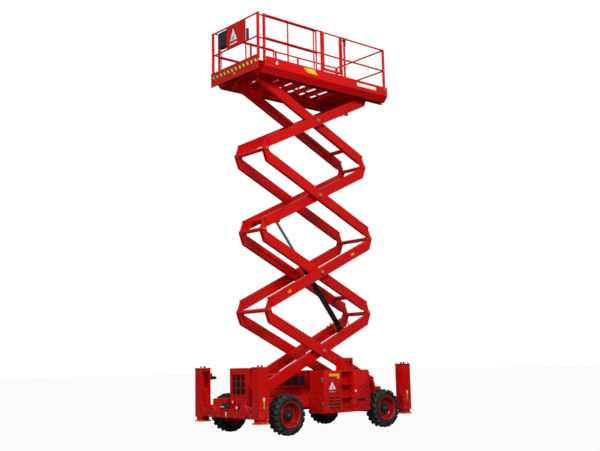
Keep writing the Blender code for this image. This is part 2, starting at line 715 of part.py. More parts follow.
def grille_box():
    half = GRILLE_BOX_HALF_WIDTH
    low = RAIL_BOTTOM + PAN_THICKNESS + TOUCHING
    grille_y = (-0.26, 0.235)
    grille_z = (0.825, 1.28)
    side_bay = (half - 0.01, RAIL_INNER_Y - 0.002)
    pieces = [
        block((GRILLE_BOX_REAR, GRILLE_BOX_FRONT), (-half, half), (low, GRILLE_BOX_TOP)),
        block((GRILLE_BOX_REAR + 0.01, GRILLE_BOX_FRONT - 0.04), side_bay, (low + OVERLAP, GRILLE_BOX_TOP - OVERLAP)),
    ]
    front = (GRILLE_BOX_FRONT - 0.06, GRILLE_BOX_FRONT + 0.01)
    behind_grille = ((grille_y[0] + 0.02, grille_y[1] - 0.02), (grille_z[0] + 0.02, grille_z[1] - 0.02))
    bay_slot = (half + 0.01, RAIL_INNER_Y - 0.015)
    cuts = [
        block(front, *behind_grille),
        block((GRILLE_BOX_FRONT - 0.12, GRILLE_BOX_FRONT), bay_slot, (0.64, 0.96)),
        block((GRILLE_BOX_FRONT - 0.12, GRILLE_BOX_FRONT), bay_slot, (1.24, 1.36)),
    ]
    weld("grille_box", red_paint, root, pieces, cuts)
    pitch_y = (grille_y[1] - grille_y[0] - GRILLE_BARS) / GRILLE_CELLS
    pitch_z = (grille_z[1] - grille_z[0] - GRILLE_BARS) / GRILLE_CELLS
    holes = []
    for i in range(GRILLE_CELLS):
        for j in range(GRILLE_CELLS):
            y = grille_y[0] + GRILLE_BARS + i * pitch_y
            z = grille_z[0] + GRILLE_BARS + j * pitch_z
            holes.append(rectangle((y, y + pitch_y - GRILLE_BARS), (z, z + pitch_z - GRILLE_BARS)))
    face = (GRILLE_BOX_FRONT + TOUCHING, GRILLE_BOX_FRONT + 0.012)
    show(plate(rectangle(grille_y, grille_z), "x", *face, holes), "front_grille", red_paint, root)


# Scissor arms

def beam_edge(distance, upper):
    """Height of the beam's upper or lower edge above the pin line, at a distance from its lower pin."""
    slope = PIN_OFFSET / HALF_ARM
    half = BEAM_DEPTH / 2 * math.hypot(1, slope)
    return PIN_OFFSET - distance * slope + (half if upper else -half)


def beam_middle(distance):
    return (beam_edge(distance, True) + beam_edge(distance, False)) / 2


def end_outline(reach, inset):
    """The plate round an arm's lower pin: a boss, a short lower edge and a long bevel up to the beam's top."""
    knee = CORE_START + 0.012
    outline = arc((0, 0), BOSS_RADIUS, 5, -60, -165)
    outline.append((knee, beam_edge(knee, True) - 0.003))
    outline.append((reach, beam_edge(reach, True) - inset))
    outline.append((reach, beam_edge(reach, False) + inset))
    outline.append((CORE_START - 0.025, beam_edge(CORE_START - 0.025, False) + 0.004))
    return outline


def from_upper_pin(points):
    """The same shape turned half a turn, to the arm's other end."""
    return [(2 * HALF_ARM - u, -v) for u, v in points]


def core_outline():
    low_end = [(CORE_START, beam_edge(CORE_START, False)), (CORE_START, beam_edge(CORE_START, True))]
    return low_end + from_upper_pin(low_end)


def arm_pieces(stage, rising_forward, y):
    """One arm: its beam, a tongue at the lower pin and a fork at the upper one."""
    def turn(points):
        return arm_frame(points, rising_forward, stage)

    half = BEAM_WIDTH / 2
    cheek = half + PLATE_PROUD
    fork = turn(from_upper_pin(end_outline(FORK_REACH, 0.03)))
    tongue = turn(end_outline(TONGUE_REACH, 0.02))
    return [
        plate(turn(core_outline()), "y", y - half, y + half),
        plate(tongue, "y", y - TONGUE_THICKNESS / 2, y + TONGUE_THICKNESS / 2),
        plate(fork, "y", y - cheek, y - cheek + PLATE_THICKNESS),
        plate(fork, "y", y + cheek - PLATE_THICKNESS, y + cheek),
    ]


def cross_bar(place, half_length, radius):
    return bar((place[0], -half_length, place[2]), (place[0], half_length, place[2]), radius)


def cross_bore(place, half_length, shaft_radius):
    return bore((place[0], -half_length, place[2]), (place[0], half_length, place[2]), shaft_radius)


def side_bar(place, side, low, high, radius):
    """A bar along Y on one side of the machine."""
    return bar((place[0], side * low, place[2]), (place[0], side * high, place[2]), radius)


def pin_with_heads(place, y, tube_half):
    """A pin through both arms of a pair, thicker between them, with a head outside each fork."""
    outside = y + BEAM_WIDTH / 2 + PLATE_PROUD
    pieces = [cross_bar(place, outside + 0.012, PIN_RADIUS), cross_bar(place, tube_half, TUBE_RADIUS)]
    for side in (-1, 1):
        head = outside + 0.004
        pieces.append(side_bar(place, side, head, head + PIN_HEAD_THICKNESS, PIN_HEAD_RADIUS))
    return pieces


def inner_arms(stage):
    rising_forward = stage % 2 == 0
    lower_end, upper_end = ("rear", "front") if rising_forward else ("front", "rear")
    pieces = arm_pieces(stage, rising_forward, INNER_Y) + arm_pieces(stage, rising_forward, -INNER_Y)
    pieces += pin_with_heads(pin(stage - 1, lower_end), INNER_Y, tube_inner_half)
    brace = on_inner_arm(stage, (BRACE_ALONG, beam_middle(BRACE_ALONG)))
    pieces.append(cross_bar(brace, INNER_Y, BRACE_RADIUS))
    if stage == 1:
        distance = 2 * HALF_ARM - 0.60
        root_place = on_inner_arm(1, (distance, beam_middle(distance)))
        pieces.append(cross_bar(lower_pin, INNER_Y - 0.02, CYLINDER_PIN_RADIUS))
        for side in (-1, 1):
            outline = strap(root_place[0::2], 0.09, lower_pin[0::2], EYE_RADIUS)
            lug_end = INNER_Y - 0.02
            pieces.append(plate(outline, "y", *mirrored(side, lug_end - LOWER_LUG_THICKNESS, lug_end)))
    if stage == 3:
        root_place = on_inner_arm(3, (0.38, beam_middle(0.38)))
        pieces.append(cross_bar(root_place, INNER_Y, 0.055))
        for side in (-1, 1):
            outline = strap(root_place[0::2], 0.085, upper_pin[0::2], 0.075)
            pieces.append(plate(outline, "y", *mirrored(side, UPPER_LUG_Y, UPPER_LUG_Y + UPPER_LUG_THICKNESS)))
    bores = [
        cross_bore(pin(stage, upper_end), INNER_Y + 0.2, PIN_RADIUS),
        cross_bore(centre_pin(stage), INNER_Y + 0.2, CENTRE_PIN_RADIUS),
    ]
    weld(f"inner_arms_{stage}", red_paint, inner[stage], pieces, bores)


def centre_pin_pieces(place, side):
    """Half of a centre pin: it is fixed in the outer arm and turns in the inner one."""
    inner_face = INNER_Y - BEAM_WIDTH / 2
    gap_start = INNER_Y + BEAM_WIDTH / 2 + SIDE_CLEARANCE
    outer_face = OUTER_Y + BEAM_WIDTH / 2
    return [
        side_bar(place, side, inner_face - 0.012, OUTER_Y, CENTRE_PIN_RADIUS),
        side_bar(place, side, inner_face - 0.014, inner_face - 0.004, 0.05),
        side_bar(place, side, gap_start, OUTER_Y, 0.055),
        side_bar(place, side, OUTER_Y, outer_face + 0.012, CENTRE_WASHER_RADIUS),
    ]


def roller_pieces(place, side):
    return [
        side_bar(place, side, OUTER_Y - 0.04, 0.59, PIN_RADIUS - 0.003),
        side_bar(place, side, 0.558, 0.598, ROLLER_RADIUS),
    ]


def outer_arms(stage):
    rising_forward = stage % 2 == 1
    lower_end, upper_end = ("rear", "front") if rising_forward else ("front", "rear")
    lower, upper = pin(stage - 1, lower_end), pin(stage, upper_end)
    pieces = arm_pieces(stage, rising_forward, OUTER_Y) + arm_pieces(stage, rising_forward, -OUTER_Y)
    pieces += pin_with_heads(lower, OUTER_Y, tube_outer_half)
    for side in (-1, 1):
        pieces += centre_pin_pieces(centre_pin(stage), side)
        if stage == 1:
            pieces += roller_pieces(lower, side)
        if stage == STAGES:
            pieces += roller_pieces(upper, side)
    bores = [cross_bore(upper, OUTER_Y + 0.2, PIN_RADIUS)] if stage < STAGES else []
    weld(f"outer_arms_{stage}", red_paint, outer[stage], pieces, bores)


def lift_cylinder():
    low, high = Vector(lower_pin), Vector(upper_pin)
    direction = (high - low).normalized()
    gland = low + direction * BARREL_LENGTH
    pieces = [
        bar(low + direction * 0.05, gland, BARREL_RADIUS),
        bar(gland - direction * 0.10, gland - direction * OVERLAP, BARREL_RADIUS + GLAND_PROUD),
        cross_bar(low, EYE_WIDTH / 2, EYE_RADIUS),
    ]
    cuts = [
        cross_bore(low, EYE_WIDTH, CYLINDER_PIN_RADIUS),
        bore(low + direction * BARREL_FLOOR, gland + direction * 0.05, ROD_RADIUS),
    ]
    weld("lift_cylinder_barrel", black_paint, barrel_body, pieces, cuts)
    pieces = [
        bar(low + direction * ROD_SHOWN_FROM, high - direction * 0.02, ROD_RADIUS),
        cross_bar(high, EYE_WIDTH / 2, ROD_EYE_RADIUS),
        cross_bar(high, UPPER_LUG_Y - 0.007, 0.035),
    ]
    weld("lift_cylinder_rod", bright_steel, rod_body, pieces)


# Platform

def joist_places():
    return [PLATFORM_FRONT - 0.52 - JOIST_PITCH * i for i in range(JOISTS)]


def skirt_outline(side):
    """Section of a side skirt: an upright over a chamfer that turns in under the deck."""
    upright = PLATFORM_HALF_WIDTH - SKIRT_THICKNESS
    top = deck_under - TOUCHING
    points = [
        (SKIRT_FLANGE_Y, top), (upright, top), (upright, toe_top), (PLATFORM_HALF_WIDTH, toe_top),
        (PLATFORM_HALF_WIDTH, floor_z - 0.12), (0.77, skirt_bottom), (SKIRT_FLANGE_Y, skirt_bottom),
    ]
    return [(side * y, z) for y, z in points]


def front_pin_bracket():
    """Hanger from the deck frame round the top front pin."""
    x, _, z = pin(STAGES, "front")
    top = deck_under - 0.004
    outline = [(x + 0.16, top), (x - 0.03, top)]
    outline += arc((x, z), BOSS_RADIUS - 0.005, 8, 180, 150)
    return outline + [(x + 0.16, z - 0.02)]


def platform_frame():
    pin_x, _, pin_z = pin(STAGES, "front")
    side_member = (floor_z - TRACK_DROP, deck_under - OVERLAP)
    shelf = pin_z - ROLLER_RADIUS - ROLLER_GAP
    pieces = []
    for side in (-1, 1):
        pieces.append(plate(skirt_outline(side), "x", PLATFORM_REAR, PLATFORM_FRONT))
        wall = mirrored(side, TRACK_Y, TRACK_Y + TRACK_WALL)
        pieces.append(block((PLATFORM_REAR - 0.08, PLATFORM_FRONT - 0.01), wall, side_member))
        track = (PLATFORM_REAR - 0.079, -0.40)
        pieces += roller_track(side, track, track[0], pin_z, shelf - 0.010)
        for x in joist_places():
            joist = mirrored(side, TRACK_Y + 0.006, SKIRT_FLANGE_Y + 0.01)
            pieces.append(block(about(x, JOIST_HALF), joist, (deck_under - JOIST_DEPTH, deck_under - 0.003)))
        tongue = mirrored(side, INNER_Y - TONGUE_THICKNESS / 2, INNER_Y + TONGUE_THICKNESS / 2)
        pieces.append(plate(front_pin_bracket(), "y", *tongue))
        corner = mirrored(side, TRACK_Y + 0.005, SKIRT_FLANGE_Y + 0.06)
        rear = (PLATFORM_REAR + 0.003, PLATFORM_REAR + 0.029)
        pieces.append(block(rear, corner, (skirt_bottom + 0.02, deck_under + 0.01)))
    beam_half = TRACK_Y + 0.005
    for x in joist_places():
        if x > 0:
            joist_z = (deck_under - 0.078, deck_under - 0.004)
            pieces.append(block(about(x, JOIST_HALF - OVERLAP), (-beam_half, beam_half), joist_z))
    hanger = (pin_x + 0.10, pin_x + 0.17)
    pieces.append(block(hanger, (-beam_half, beam_half), (deck_under - 0.13, deck_under - 0.005)))
    across = PLATFORM_HALF_WIDTH - 0.01
    front = (PLATFORM_FRONT - 0.04, PLATFORM_FRONT - 0.002)
    pieces.append(block(front, (-0.80, 0.80), (skirt_bottom + 0.04, deck_under - 0.002)))
    rear = (PLATFORM_REAR + 0.002, PLATFORM_REAR + 0.03)
    pieces.append(block(rear, (-across, across), (deck_under, toe_top - 0.002)))
    pieces += pin_with_heads((pin_x, 0.0, pin_z), INNER_Y, tube_inner_half)
    weld("platform_frame", red_paint, platform, pieces)


def slots(low_x, high_x):
    """The drain slots whose places lie between two ends of a deck."""
    reach = SLOT_WIDTH / 2 + SLOT_TO_EDGE
    places = [x for x in SLOT_X if low_x + reach < x < high_x - reach]
    return [rectangle(about(x, SLOT_WIDTH / 2), y) for x in places for y in SLOT_Y]


def platform_deck():
    """A rear plate that stays clear and a slightly lower front one that the extension slides on."""
    half = rail_y - POST - OVERLAP
    rear = PLATFORM_REAR + 0.032
    split = EXTENSION_REAR - 0.02
    front_top = floor_z - FRONT_DECK_DROP
    rear_deck = rectangle((rear, split), (-half, half))
    front_deck = rectangle((split - 0.01, PLATFORM_FRONT), (-half + OVERLAP, half - OVERLAP))
    pieces = [
        plate(rear_deck, "z", deck_under, floor_z, slots(rear, split)),
        plate(front_deck, "z", deck_under + OVERLAP, front_top, slots(split, PLATFORM_FRONT)),
    ]
    for x in joist_places():
        if x < 0:
            pieces.append(block(about(x, JOIST_HALF), (-0.44, 0.44), (deck_under - 0.078, deck_under + OVERLAP)))
    weld("platform_deck", red_paint, platform, pieces)


def post(x, y, low, half=POST):
    """A square post up to the top rail."""
    return block(about(x, half), about(y, half), (low, rail_top + TUBE))


def side_run(low, high, y, z, radius=TUBE):
    return bar((low, y, z), (high, y, z), radius - OVERLAP / 2, RAIL_SIDES)


def cross_run(x, half, z, radius=TUBE):
    return bar((x, -half, z), (x, half, z), radius - OVERLAP / 2, RAIL_SIDES)


def rails():
    rear = PLATFORM_REAR + 0.060
    front = PLATFORM_FRONT - POST
    foot = deck_under
    left = [post(x, rail_y, foot) for x in (GATE_FRONT, front)]
    left.append(bar((0.27, rail_y, foot), (0.27, rail_y, rail_top + TUBE_END), TUBE * 0.8, RAIL_SIDES))
    left += [side_run(GATE_FRONT, front, rail_y, z) for z in (rail_top, rail_mid)]
    weld("guard_rail_left_front", red_paint, platform, left)

    gate_posts = (GATE_REAR - 0.12, GATE_REAR - 0.02)
    rest = [post(rear, side * rail_y, foot) for side in (-1, 1)] + [post(front, -rail_y, foot)]
    rest += [post(x, rail_y, foot, TUBE) for x in gate_posts]
    rest += [post(x, -rail_y, foot, TUBE) for x in (-0.70, 0.02, 0.80)]
    for z in (rail_top, rail_mid):
        rest.append(side_run(rear, gate_posts[1], rail_y, z))
        rest.append(side_run(rear, front, -rail_y, z))
        rest.append(cross_run(rear, rail_y, z))
    lug_end = GATE_REAR + GATE_HINGE_REACH - TUBE * 0.9 - TOUCHING
    for z in (floor_z + 0.30, floor_z + 0.90):
        rest.append(block((GATE_REAR - 0.02, lug_end), about(rail_y, 0.008), about(z, 0.03)))
    weld("guard_rail_rear_right", red_paint, platform, rest)


def gate():
    hinge = (GATE_REAR + GATE_HINGE_REACH, rail_y, (rail_top + floor_z) / 2)
    own = body("gate_body", hinge, platform)
    low, high = hinge[0], GATE_FRONT - POST - 0.035
    bottom = floor_z + GATE_LIFT
    radius = TUBE * 0.9
    ends = (bottom - TUBE_END, rail_top + TUBE_END)
    pieces = [bar((x, rail_y, ends[0]), (x, rail_y, ends[1]), radius, RAIL_SIDES) for x in (low, high)]
    pieces += [side_run(low, high, rail_y, z, radius) for z in (rail_top, rail_mid, bottom)]
    pieces.append(block((low + 0.005, high - 0.005), about(rail_y, 0.004), (bottom - 0.012, bottom + 0.05)))
    weld("entry_gate", red_paint, own, pieces)


def extension_deck():
    half = extension_half - 0.01
    top = extension_low + EXTENSION_THICKNESS
    back = extension_front - 0.02
    pieces = [
        plate(
            rectangle((EXTENSION_REAR, extension_front - OVERLAP), (-half, half)), "z", extension_low, top,
            slots(EXTENSION_REAR, PLATFORM_FRONT),
        ),
        block(
            (back, extension_front),
            (-PLATFORM_HALF_WIDTH + 0.01, PLATFORM_HALF_WIDTH - 0.01),
            (floor_z - FRONT_PANEL_DROP, floor_z + FRONT_PANEL_RISE),
        ),
    ]
    runner = floor_z - FRONT_DECK_DROP + TOUCHING
    for side in (-1, 1):
        y = mirrored(side, 0.61, 0.67)
        pieces.append(block((EXTENSION_REAR + 0.02, PLATFORM_FRONT - 0.05), y, (runner, extension_low + 0.002)))
    weld("extension_deck", red_paint, extension, pieces)


def extension_rails():
    foot = extension_low + EXTENSION_THICKNESS + TOUCHING
    front = extension_front - 0.045
    side_y = extension_half - 0.01
    radius = TUBE * 0.9
    reach = rail_y + 0.005
    pieces = [block(about(front, POST), about(side * reach, POST), (foot, rail_top + TUBE)) for side in (-1, 1)]
    for side in (-1, 1):
        for x in (EXTENSION_REAR + 0.04, 1.0):
            pieces.append(bar((x, side * side_y, foot), (x, side * side_y, rail_top + TUBE_END), radius, RAIL_SIDES))
        low, high = EXTENSION_REAR + 0.04 - TUBE_END, front + TUBE_END
        pieces += [side_run(low, high, side * side_y, z, radius - OVERLAP) for z in (rail_top, rail_mid)]
        shoe = mirrored(side, side_y - 0.01, reach)
        pieces.append(block(about(front, POST - OVERLAP), shoe, (foot + OVERLAP, foot + 0.05)))
    pieces += [cross_run(front, reach, z, radius) for z in (rail_top, rail_mid)]
    weld("extension_rails", red_paint, extension, pieces)


def front_rail_fittings():
    """The sign outside the front rails, the control box inside them and its lead in a conduit to the deck."""
    front = extension_front - 0.045
    reach = TUBE * 0.9 + TOUCHING
    sign = block((front + reach, front + reach + 0.005), (-0.29, 0.43), (rail_mid - 0.01, rail_top + 0.005))
    show(sign, "sign_panel", red_paint, extension)
    back = front - reach
    low = rail_mid + 0.13
    box = block((back - CONTROL_BOX_DEPTH, back), (-0.66, -0.29), (low, rail_top + 0.005))
    show(box, "control_box", black_plastic, extension)
    x = back - CONTROL_BOX_DEPTH / 2
    deck = extension_low + EXTENSION_THICKNESS + TOUCHING
    conduit = bar((x, -0.62, deck), (x, -0.62, low - TOUCHING), 0.009, RAIL_SIDES)
    show(conduit, "control_conduit", black_plastic, extension)


chassis_frame()
front_axle()
rear_axle()
for fore_sign, fore_name in ((1, "front"), (-1, "rear")):
    for side_sign, side_name in ((1, "left"), (-1, "right")):
        jack(fore_sign, fore_name, side_sign, side_name)
side_box(1, "left")
side_box(-1, "right")
hose_guard()
grab_frame()
grille_box()
for stage in range(1, STAGES + 1):
    inner_arms(stage)
    outer_arms(stage)
lift_cylinder()
platform_frame()
platform_deck()
rails()
gate()
extension_deck()
extension_rails()
front_rail_fittings()
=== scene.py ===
# %% [markdown]
# # A scissor lift, dressed for the camera
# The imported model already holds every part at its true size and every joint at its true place.
# Here we give it the things that a maker adds last: rounded edges, tyres with tread, bolts, labels and paint.
# Everything is in metres, with X forward, Y to the machine's left and Z up.

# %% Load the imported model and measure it
import json
import math

import bmesh
import bpy
from mathutils import Matrix, Vector


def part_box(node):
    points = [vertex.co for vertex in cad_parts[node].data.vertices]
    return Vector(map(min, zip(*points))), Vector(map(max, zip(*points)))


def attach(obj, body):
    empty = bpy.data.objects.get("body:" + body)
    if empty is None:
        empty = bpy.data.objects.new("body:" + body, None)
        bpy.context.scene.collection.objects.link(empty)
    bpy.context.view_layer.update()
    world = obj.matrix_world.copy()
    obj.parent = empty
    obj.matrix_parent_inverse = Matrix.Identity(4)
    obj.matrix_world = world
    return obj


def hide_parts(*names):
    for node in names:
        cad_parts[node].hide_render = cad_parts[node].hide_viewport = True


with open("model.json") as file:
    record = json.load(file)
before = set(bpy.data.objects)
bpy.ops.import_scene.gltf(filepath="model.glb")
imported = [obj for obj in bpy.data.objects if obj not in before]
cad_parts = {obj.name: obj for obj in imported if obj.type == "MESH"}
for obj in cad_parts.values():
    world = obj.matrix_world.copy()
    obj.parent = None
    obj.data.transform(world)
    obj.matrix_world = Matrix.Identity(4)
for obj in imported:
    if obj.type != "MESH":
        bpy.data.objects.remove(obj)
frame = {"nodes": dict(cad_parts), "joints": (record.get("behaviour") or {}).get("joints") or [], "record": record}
nodes = frame["nodes"]
scene = bpy.context.scene
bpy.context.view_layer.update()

# %% [markdown]
# ## Places worked out from the joints
# The arms hang on pins at five levels, and each joint in the record says where its pin is.
# Reading them once here means that a bolt or a label lands on its arm without any measuring by eye.

# %% Pins and heights
joint_places = {joint["name"]: Vector(joint["pos_m"]) for joint in frame["joints"] if "pos_m" in joint}
first_pin = joint_places["lift"]
second_pin = joint_places["end_pivot_1"]
front_x, rear_x = first_pin.x, second_pin.x
stage_height = second_pin.z - first_pin.z
base_z = first_pin.z
STAGES = 4
axle_z = joint_places["wheel_front_left_spin"].z
floor_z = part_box("platform_deck")[1].z
rail_y = joint_places["gate_hinge"].y
print("stage height", round(stage_height, 3), "floor", round(floor_z, 3), "rail at", round(rail_y, 3))

# %% [markdown]
# ## Camera
# The machine is nine metres tall, and it was seen from about twenty metres away with a moderate lens.
# The camera stands at eye height and looks slightly up, so the uprights stay nearly parallel.
# We build its turn from three directions: right, up and back.

# %% Camera
CAMERA_PLACE = Vector((13.393, 15.325, 1.482))
YAW, PITCH, ROLL = (math.radians(angle) for angle in (-130.985, 8.848, -1.258))
LENS = 52.97

forward = Vector((math.cos(PITCH) * math.cos(YAW), math.cos(PITCH) * math.sin(YAW), math.sin(PITCH)))
level_right = Vector((math.sin(YAW), -math.cos(YAW), 0))
level_up = level_right.cross(forward)
right = math.cos(ROLL) * level_right + math.sin(ROLL) * level_up
upward = math.cos(ROLL) * level_up - math.sin(ROLL) * level_right

camera = bpy.data.objects.new("camera", bpy.data.cameras.new("camera"))
camera.data.lens = LENS
camera.data.sensor_width = 36
camera.data.clip_end = 300
turned = Matrix((right, upward, -forward)).transposed().to_4x4()
camera.matrix_world = Matrix.Translation(CAMERA_PLACE) @ turned
scene.collection.objects.link(camera)
scene.camera = camera
print("camera at", tuple(CAMERA_PLACE), "lens", LENS)

# %% [markdown]
# ## A pale studio
# A white room keeps the eye on the paint. Large soft lights give long, gentle highlights on enamel,
# and the floor is the same white as the walls, so that the machine stands in open space.

# %% Floor, room and lights
FLOOR_HALF = 120
ROOM_GLOW = 0.30
FLOOR_BOUNCE = 0.12


def pale_floor():
    """White to look at, but a mild bounce card to the machine above it, with a soft shadow left in."""
    material = bpy.data.materials.new("pale_floor")
    material.use_nodes = True
    tree = material.node_tree
    shader = tree.nodes["Principled BSDF"]
    shader.inputs["Roughness"].default_value = 0.9
    shader.inputs["Specular IOR Level"].default_value = 0.0
    shader.inputs["Base Color"].default_value = (FLOOR_BOUNCE, FLOOR_BOUNCE, FLOOR_BOUNCE, 1)
    glow = tree.nodes.new("ShaderNodeEmission")
    glow.inputs["Color"].default_value = (1, 1, 1, 1)
    seen = tree.nodes.new("ShaderNodeLightPath")
    both = tree.nodes.new("ShaderNodeMixShader")
    share = tree.nodes.new("ShaderNodeMath")
    share.operation = "MULTIPLY"
    share.inputs[1].default_value = 0.96
    tree.links.new(seen.outputs["Is Camera Ray"], share.inputs[0])
    tree.links.new(share.outputs[0], both.inputs[0])
    tree.links.new(shader.outputs[0], both.inputs[1])
    tree.links.new(glow.outputs[0], both.inputs[2])
    tree.links.new(both.outputs[0], tree.nodes["Material Output"].inputs["Surface"])
    return material


floor_mesh = bpy.data.meshes.new("studio_floor")
floor_bm = bmesh.new()
bmesh.ops.create_grid(floor_bm, x_segments=1, y_segments=1, size=FLOOR_HALF)
floor_bm.to_mesh(floor_mesh)
floor_bm.free()
studio_floor = bpy.data.objects.new("studio_floor", floor_mesh)
studio_floor.data.materials.append(pale_floor())
scene.collection.objects.link(studio_floor)

world = bpy.data.worlds.new("white_room")
scene.world = world
world.use_nodes = True
room = world.node_tree.nodes["Background"]
room.inputs["Color"].default_value = (1, 1, 1, 1)
seen = world.node_tree.nodes.new("ShaderNodeLightPath")
brightness = world.node_tree.nodes.new("ShaderNodeMapRange")
brightness.inputs["To Min"].default_value = ROOM_GLOW
brightness.inputs["To Max"].default_value = 1.0
world.node_tree.links.new(seen.outputs["Is Camera Ray"], brightness.inputs["Value"])
world.node_tree.links.new(brightness.outputs["Result"], room.inputs["Strength"])
scene.view_settings.view_transform = "Standard"


def soft_light(name, place, target, size, power):
    lamp = bpy.data.lights.new(name, "AREA")
    lamp.shape = "RECTANGLE"
    lamp.size, lamp.size_y = size
    lamp.energy = power
    light = bpy.data.objects.new(name, lamp)
    towards = Vector(target) - Vector(place)
    light.matrix_world = Matrix.Translation(place) @ towards.to_track_quat("-Z", "Y").to_matrix().to_4x4()
    scene.collection.objects.link(light)
    return light


soft_light("key", (7, 15, 12), (0, 0, 4.5), (6, 6), 2100)
soft_light("front_fill", (17, 4, 6), (0, 0, 4), (5, 8), 640)
soft_light("top", (-2, 2, 17), (0, 0, 5), (8, 8), 1100)

# %% [markdown]
# ## Shader sums written as Python
# A finish is a small sum: some noise here, a little dust there, less shine where it is scratched.
# Wiring each sum by hand is slow to read, so one class wraps a socket and lets us write `1 - dust * 0.4`.
# A second class owns a material and makes any other node with one method.

# %% The two shader classes
class Value:
    """A number that varies over a surface; arithmetic on it adds Math nodes."""

    def __init__(self, owner, socket):
        self.owner = owner
        self.socket = socket

    def math(self, operation, first, second=0.0):
        node = self.owner.node("ShaderNodeMath", {"operation": operation}, {0: first, 1: second})
        return Value(self.owner, node.outputs[0])

    def __add__(self, other):
        return self.math("ADD", self, other)

    def __sub__(self, other):
        return self.math("SUBTRACT", self, other)

    def __rsub__(self, other):
        return self.math("SUBTRACT", other, self)

    def __mul__(self, other):
        return self.math("MULTIPLY", self, other)

    def __gt__(self, other):
        return self.math("GREATER_THAN", self, other)

    def __mod__(self, other):
        return self.math("FLOORED_MODULO", self, other)

    def sine(self):
        return self.math("SINE", self)

    def limited(self):
        return self.math("MINIMUM", self.math("MAXIMUM", self, 0.0), 1.0)

    __radd__ = __add__
    __rmul__ = __mul__


class Finish:
    """A material and the nodes that make it."""

    def __init__(self, name, **constants):
        self.material = bpy.data.materials.new(name)
        self.material.use_nodes = True
        self.tree = self.material.node_tree
        self.shader = self.tree.nodes["Principled BSDF"]
        for socket, value in constants.items():
            self.shader.inputs[socket.replace("_", " ")].default_value = value

    def node(self, kind, settings, inputs):
        made = self.tree.nodes.new(kind)
        for setting, value in settings.items():
            setattr(made, setting, value)
        for socket, value in inputs.items():
            source = value.socket if isinstance(value, Value) else value
            if isinstance(source, bpy.types.NodeSocket):
                self.tree.links.new(source, made.inputs[socket])
            else:
                made.inputs[socket].default_value = source
        return made

    def place(self):
        coordinates = self.node("ShaderNodeTexCoord", {}, {})
        return coordinates.outputs["Object"]

    def axes(self):
        split = self.node("ShaderNodeSeparateXYZ", {}, {0: self.place()})
        return [Value(self, split.outputs[i]) for i in range(3)]

    def noise(self, scale, detail=3.0):
        made = self.node("ShaderNodeTexNoise", {}, {"Vector": self.place(), "Scale": scale, "Detail": detail})
        return Value(self, made.outputs["Fac"])

    def spread(self, value, low, high):
        """Stretches a value so that low becomes 0 and high becomes 1, clipped at both ends."""
        return ((value - low) * (1 / (high - low))).limited()

    def mixed(self, share, first, second):
        inputs = {0: share, 6: first, 7: second}
        made = self.node("ShaderNodeMix", {"data_type": "RGBA"}, inputs)
        return made.outputs[2]

    def feed(self, name, source):
        socket = source.socket if isinstance(source, Value) else source
        self.tree.links.new(socket, self.shader.inputs[name])

    def bump(self, height, strength, distance, normal=None):
        inputs = {"Height": height, "Strength": strength, "Distance": distance}
        if normal is not None:
            inputs["Normal"] = normal
        self.feed("Normal", self.node("ShaderNodeBump", {}, inputs).outputs["Normal"])

    def rounded(self, radius):
        """The surface's direction with every sharp edge eased over a small radius."""
        return self.node("ShaderNodeBevel", {"samples": 4}, {"Radius": radius}).outputs["Normal"]

    def edges(self, radius):
        """1 on sharp edges and 0 on flat faces: where the eased and the true directions part."""
        true = self.node("ShaderNodeNewGeometry", {}, {}).outputs["Normal"]
        both = {0: self.rounded(radius), 1: true}
        dot = self.node("ShaderNodeVectorMath", {"operation": "DOT_PRODUCT"}, both)
        return self.spread(1.0 - Value(self, dot.outputs["Value"]), 0.01, 0.12)


print("shader classes ready")

# %% [markdown]
# ## Red enamel
# The machine is sprayed with thick glossy enamel. Up close it has a faint orange-peel ripple under its coat.
# Grime gathers low down, and the sharp edges are painted a paler red as a painted highlight along each edge.
# The colour stays strong: dust and the painted edge highlight change it by only a few hundredths.

# %% Red enamel
RED = (0.66, 0.0035, 0.003, 1)
DEEP_RED = (0.42, 0.004, 0.004, 1)
# The paler red of the painted highlight on sharp edges.
EDGE_HIGHLIGHT_RED = (0.78, 0.06, 0.045, 1)
DUST = (0.30, 0.17, 0.12, 1)
PEEL = 0.02


def enamel(name, colour, deep, tread=False):
    made = Finish(name, Coat_Roughness=0.08, Coat_IOR=1.5, Specular_IOR_Level=0.12)
    x, y, z = made.axes()
    patches = made.spread(made.noise(1.3), 0.35, 0.7)
    paint = made.mixed(patches * 0.22, colour, deep)
    # Painted highlight: sharp edges are mixed towards a paler red.
    paint = made.mixed(made.edges(0.006) * 0.45, paint, EDGE_HIGHLIGHT_RED)
    low_down = made.spread(1.3 - z, 0.2, 1.1)
    dust = low_down * made.spread(made.noise(9.0, 6.0), 0.45, 0.75) * 0.28
    made.feed("Base Color", made.mixed(dust, paint, DUST))
    made.feed("Roughness", 0.24 + dust * 1.2 + made.noise(28.0) * 0.10)
    made.feed("Coat Weight", 0.22 - dust * 0.6)
    ripple = made.noise(260.0, 2.0) * PEEL
    if tread:
        rib = ((x + y) * 78.0).sine() * ((x - y) * 78.0).sine()
        ripple = ripple + made.spread(rib, 0.35, 0.7)
    made.bump(ripple, 0.35, 0.0015 if tread else 0.002, made.rounded(0.004))
    return made.material


red_enamel = enamel("red_enamel", RED, DEEP_RED)
# Painted shade: the rims take the body's red made darker, as a shaded copy of the enamel.
shaded_rim_enamel = enamel("shaded_rim_enamel", (0.40, 0.003, 0.0025, 1), (0.22, 0.002, 0.002, 1))
red_tread = enamel("red_treadplate", RED, DEEP_RED, tread=True)
print("red enamel has", len(red_enamel.node_tree.nodes), "nodes")
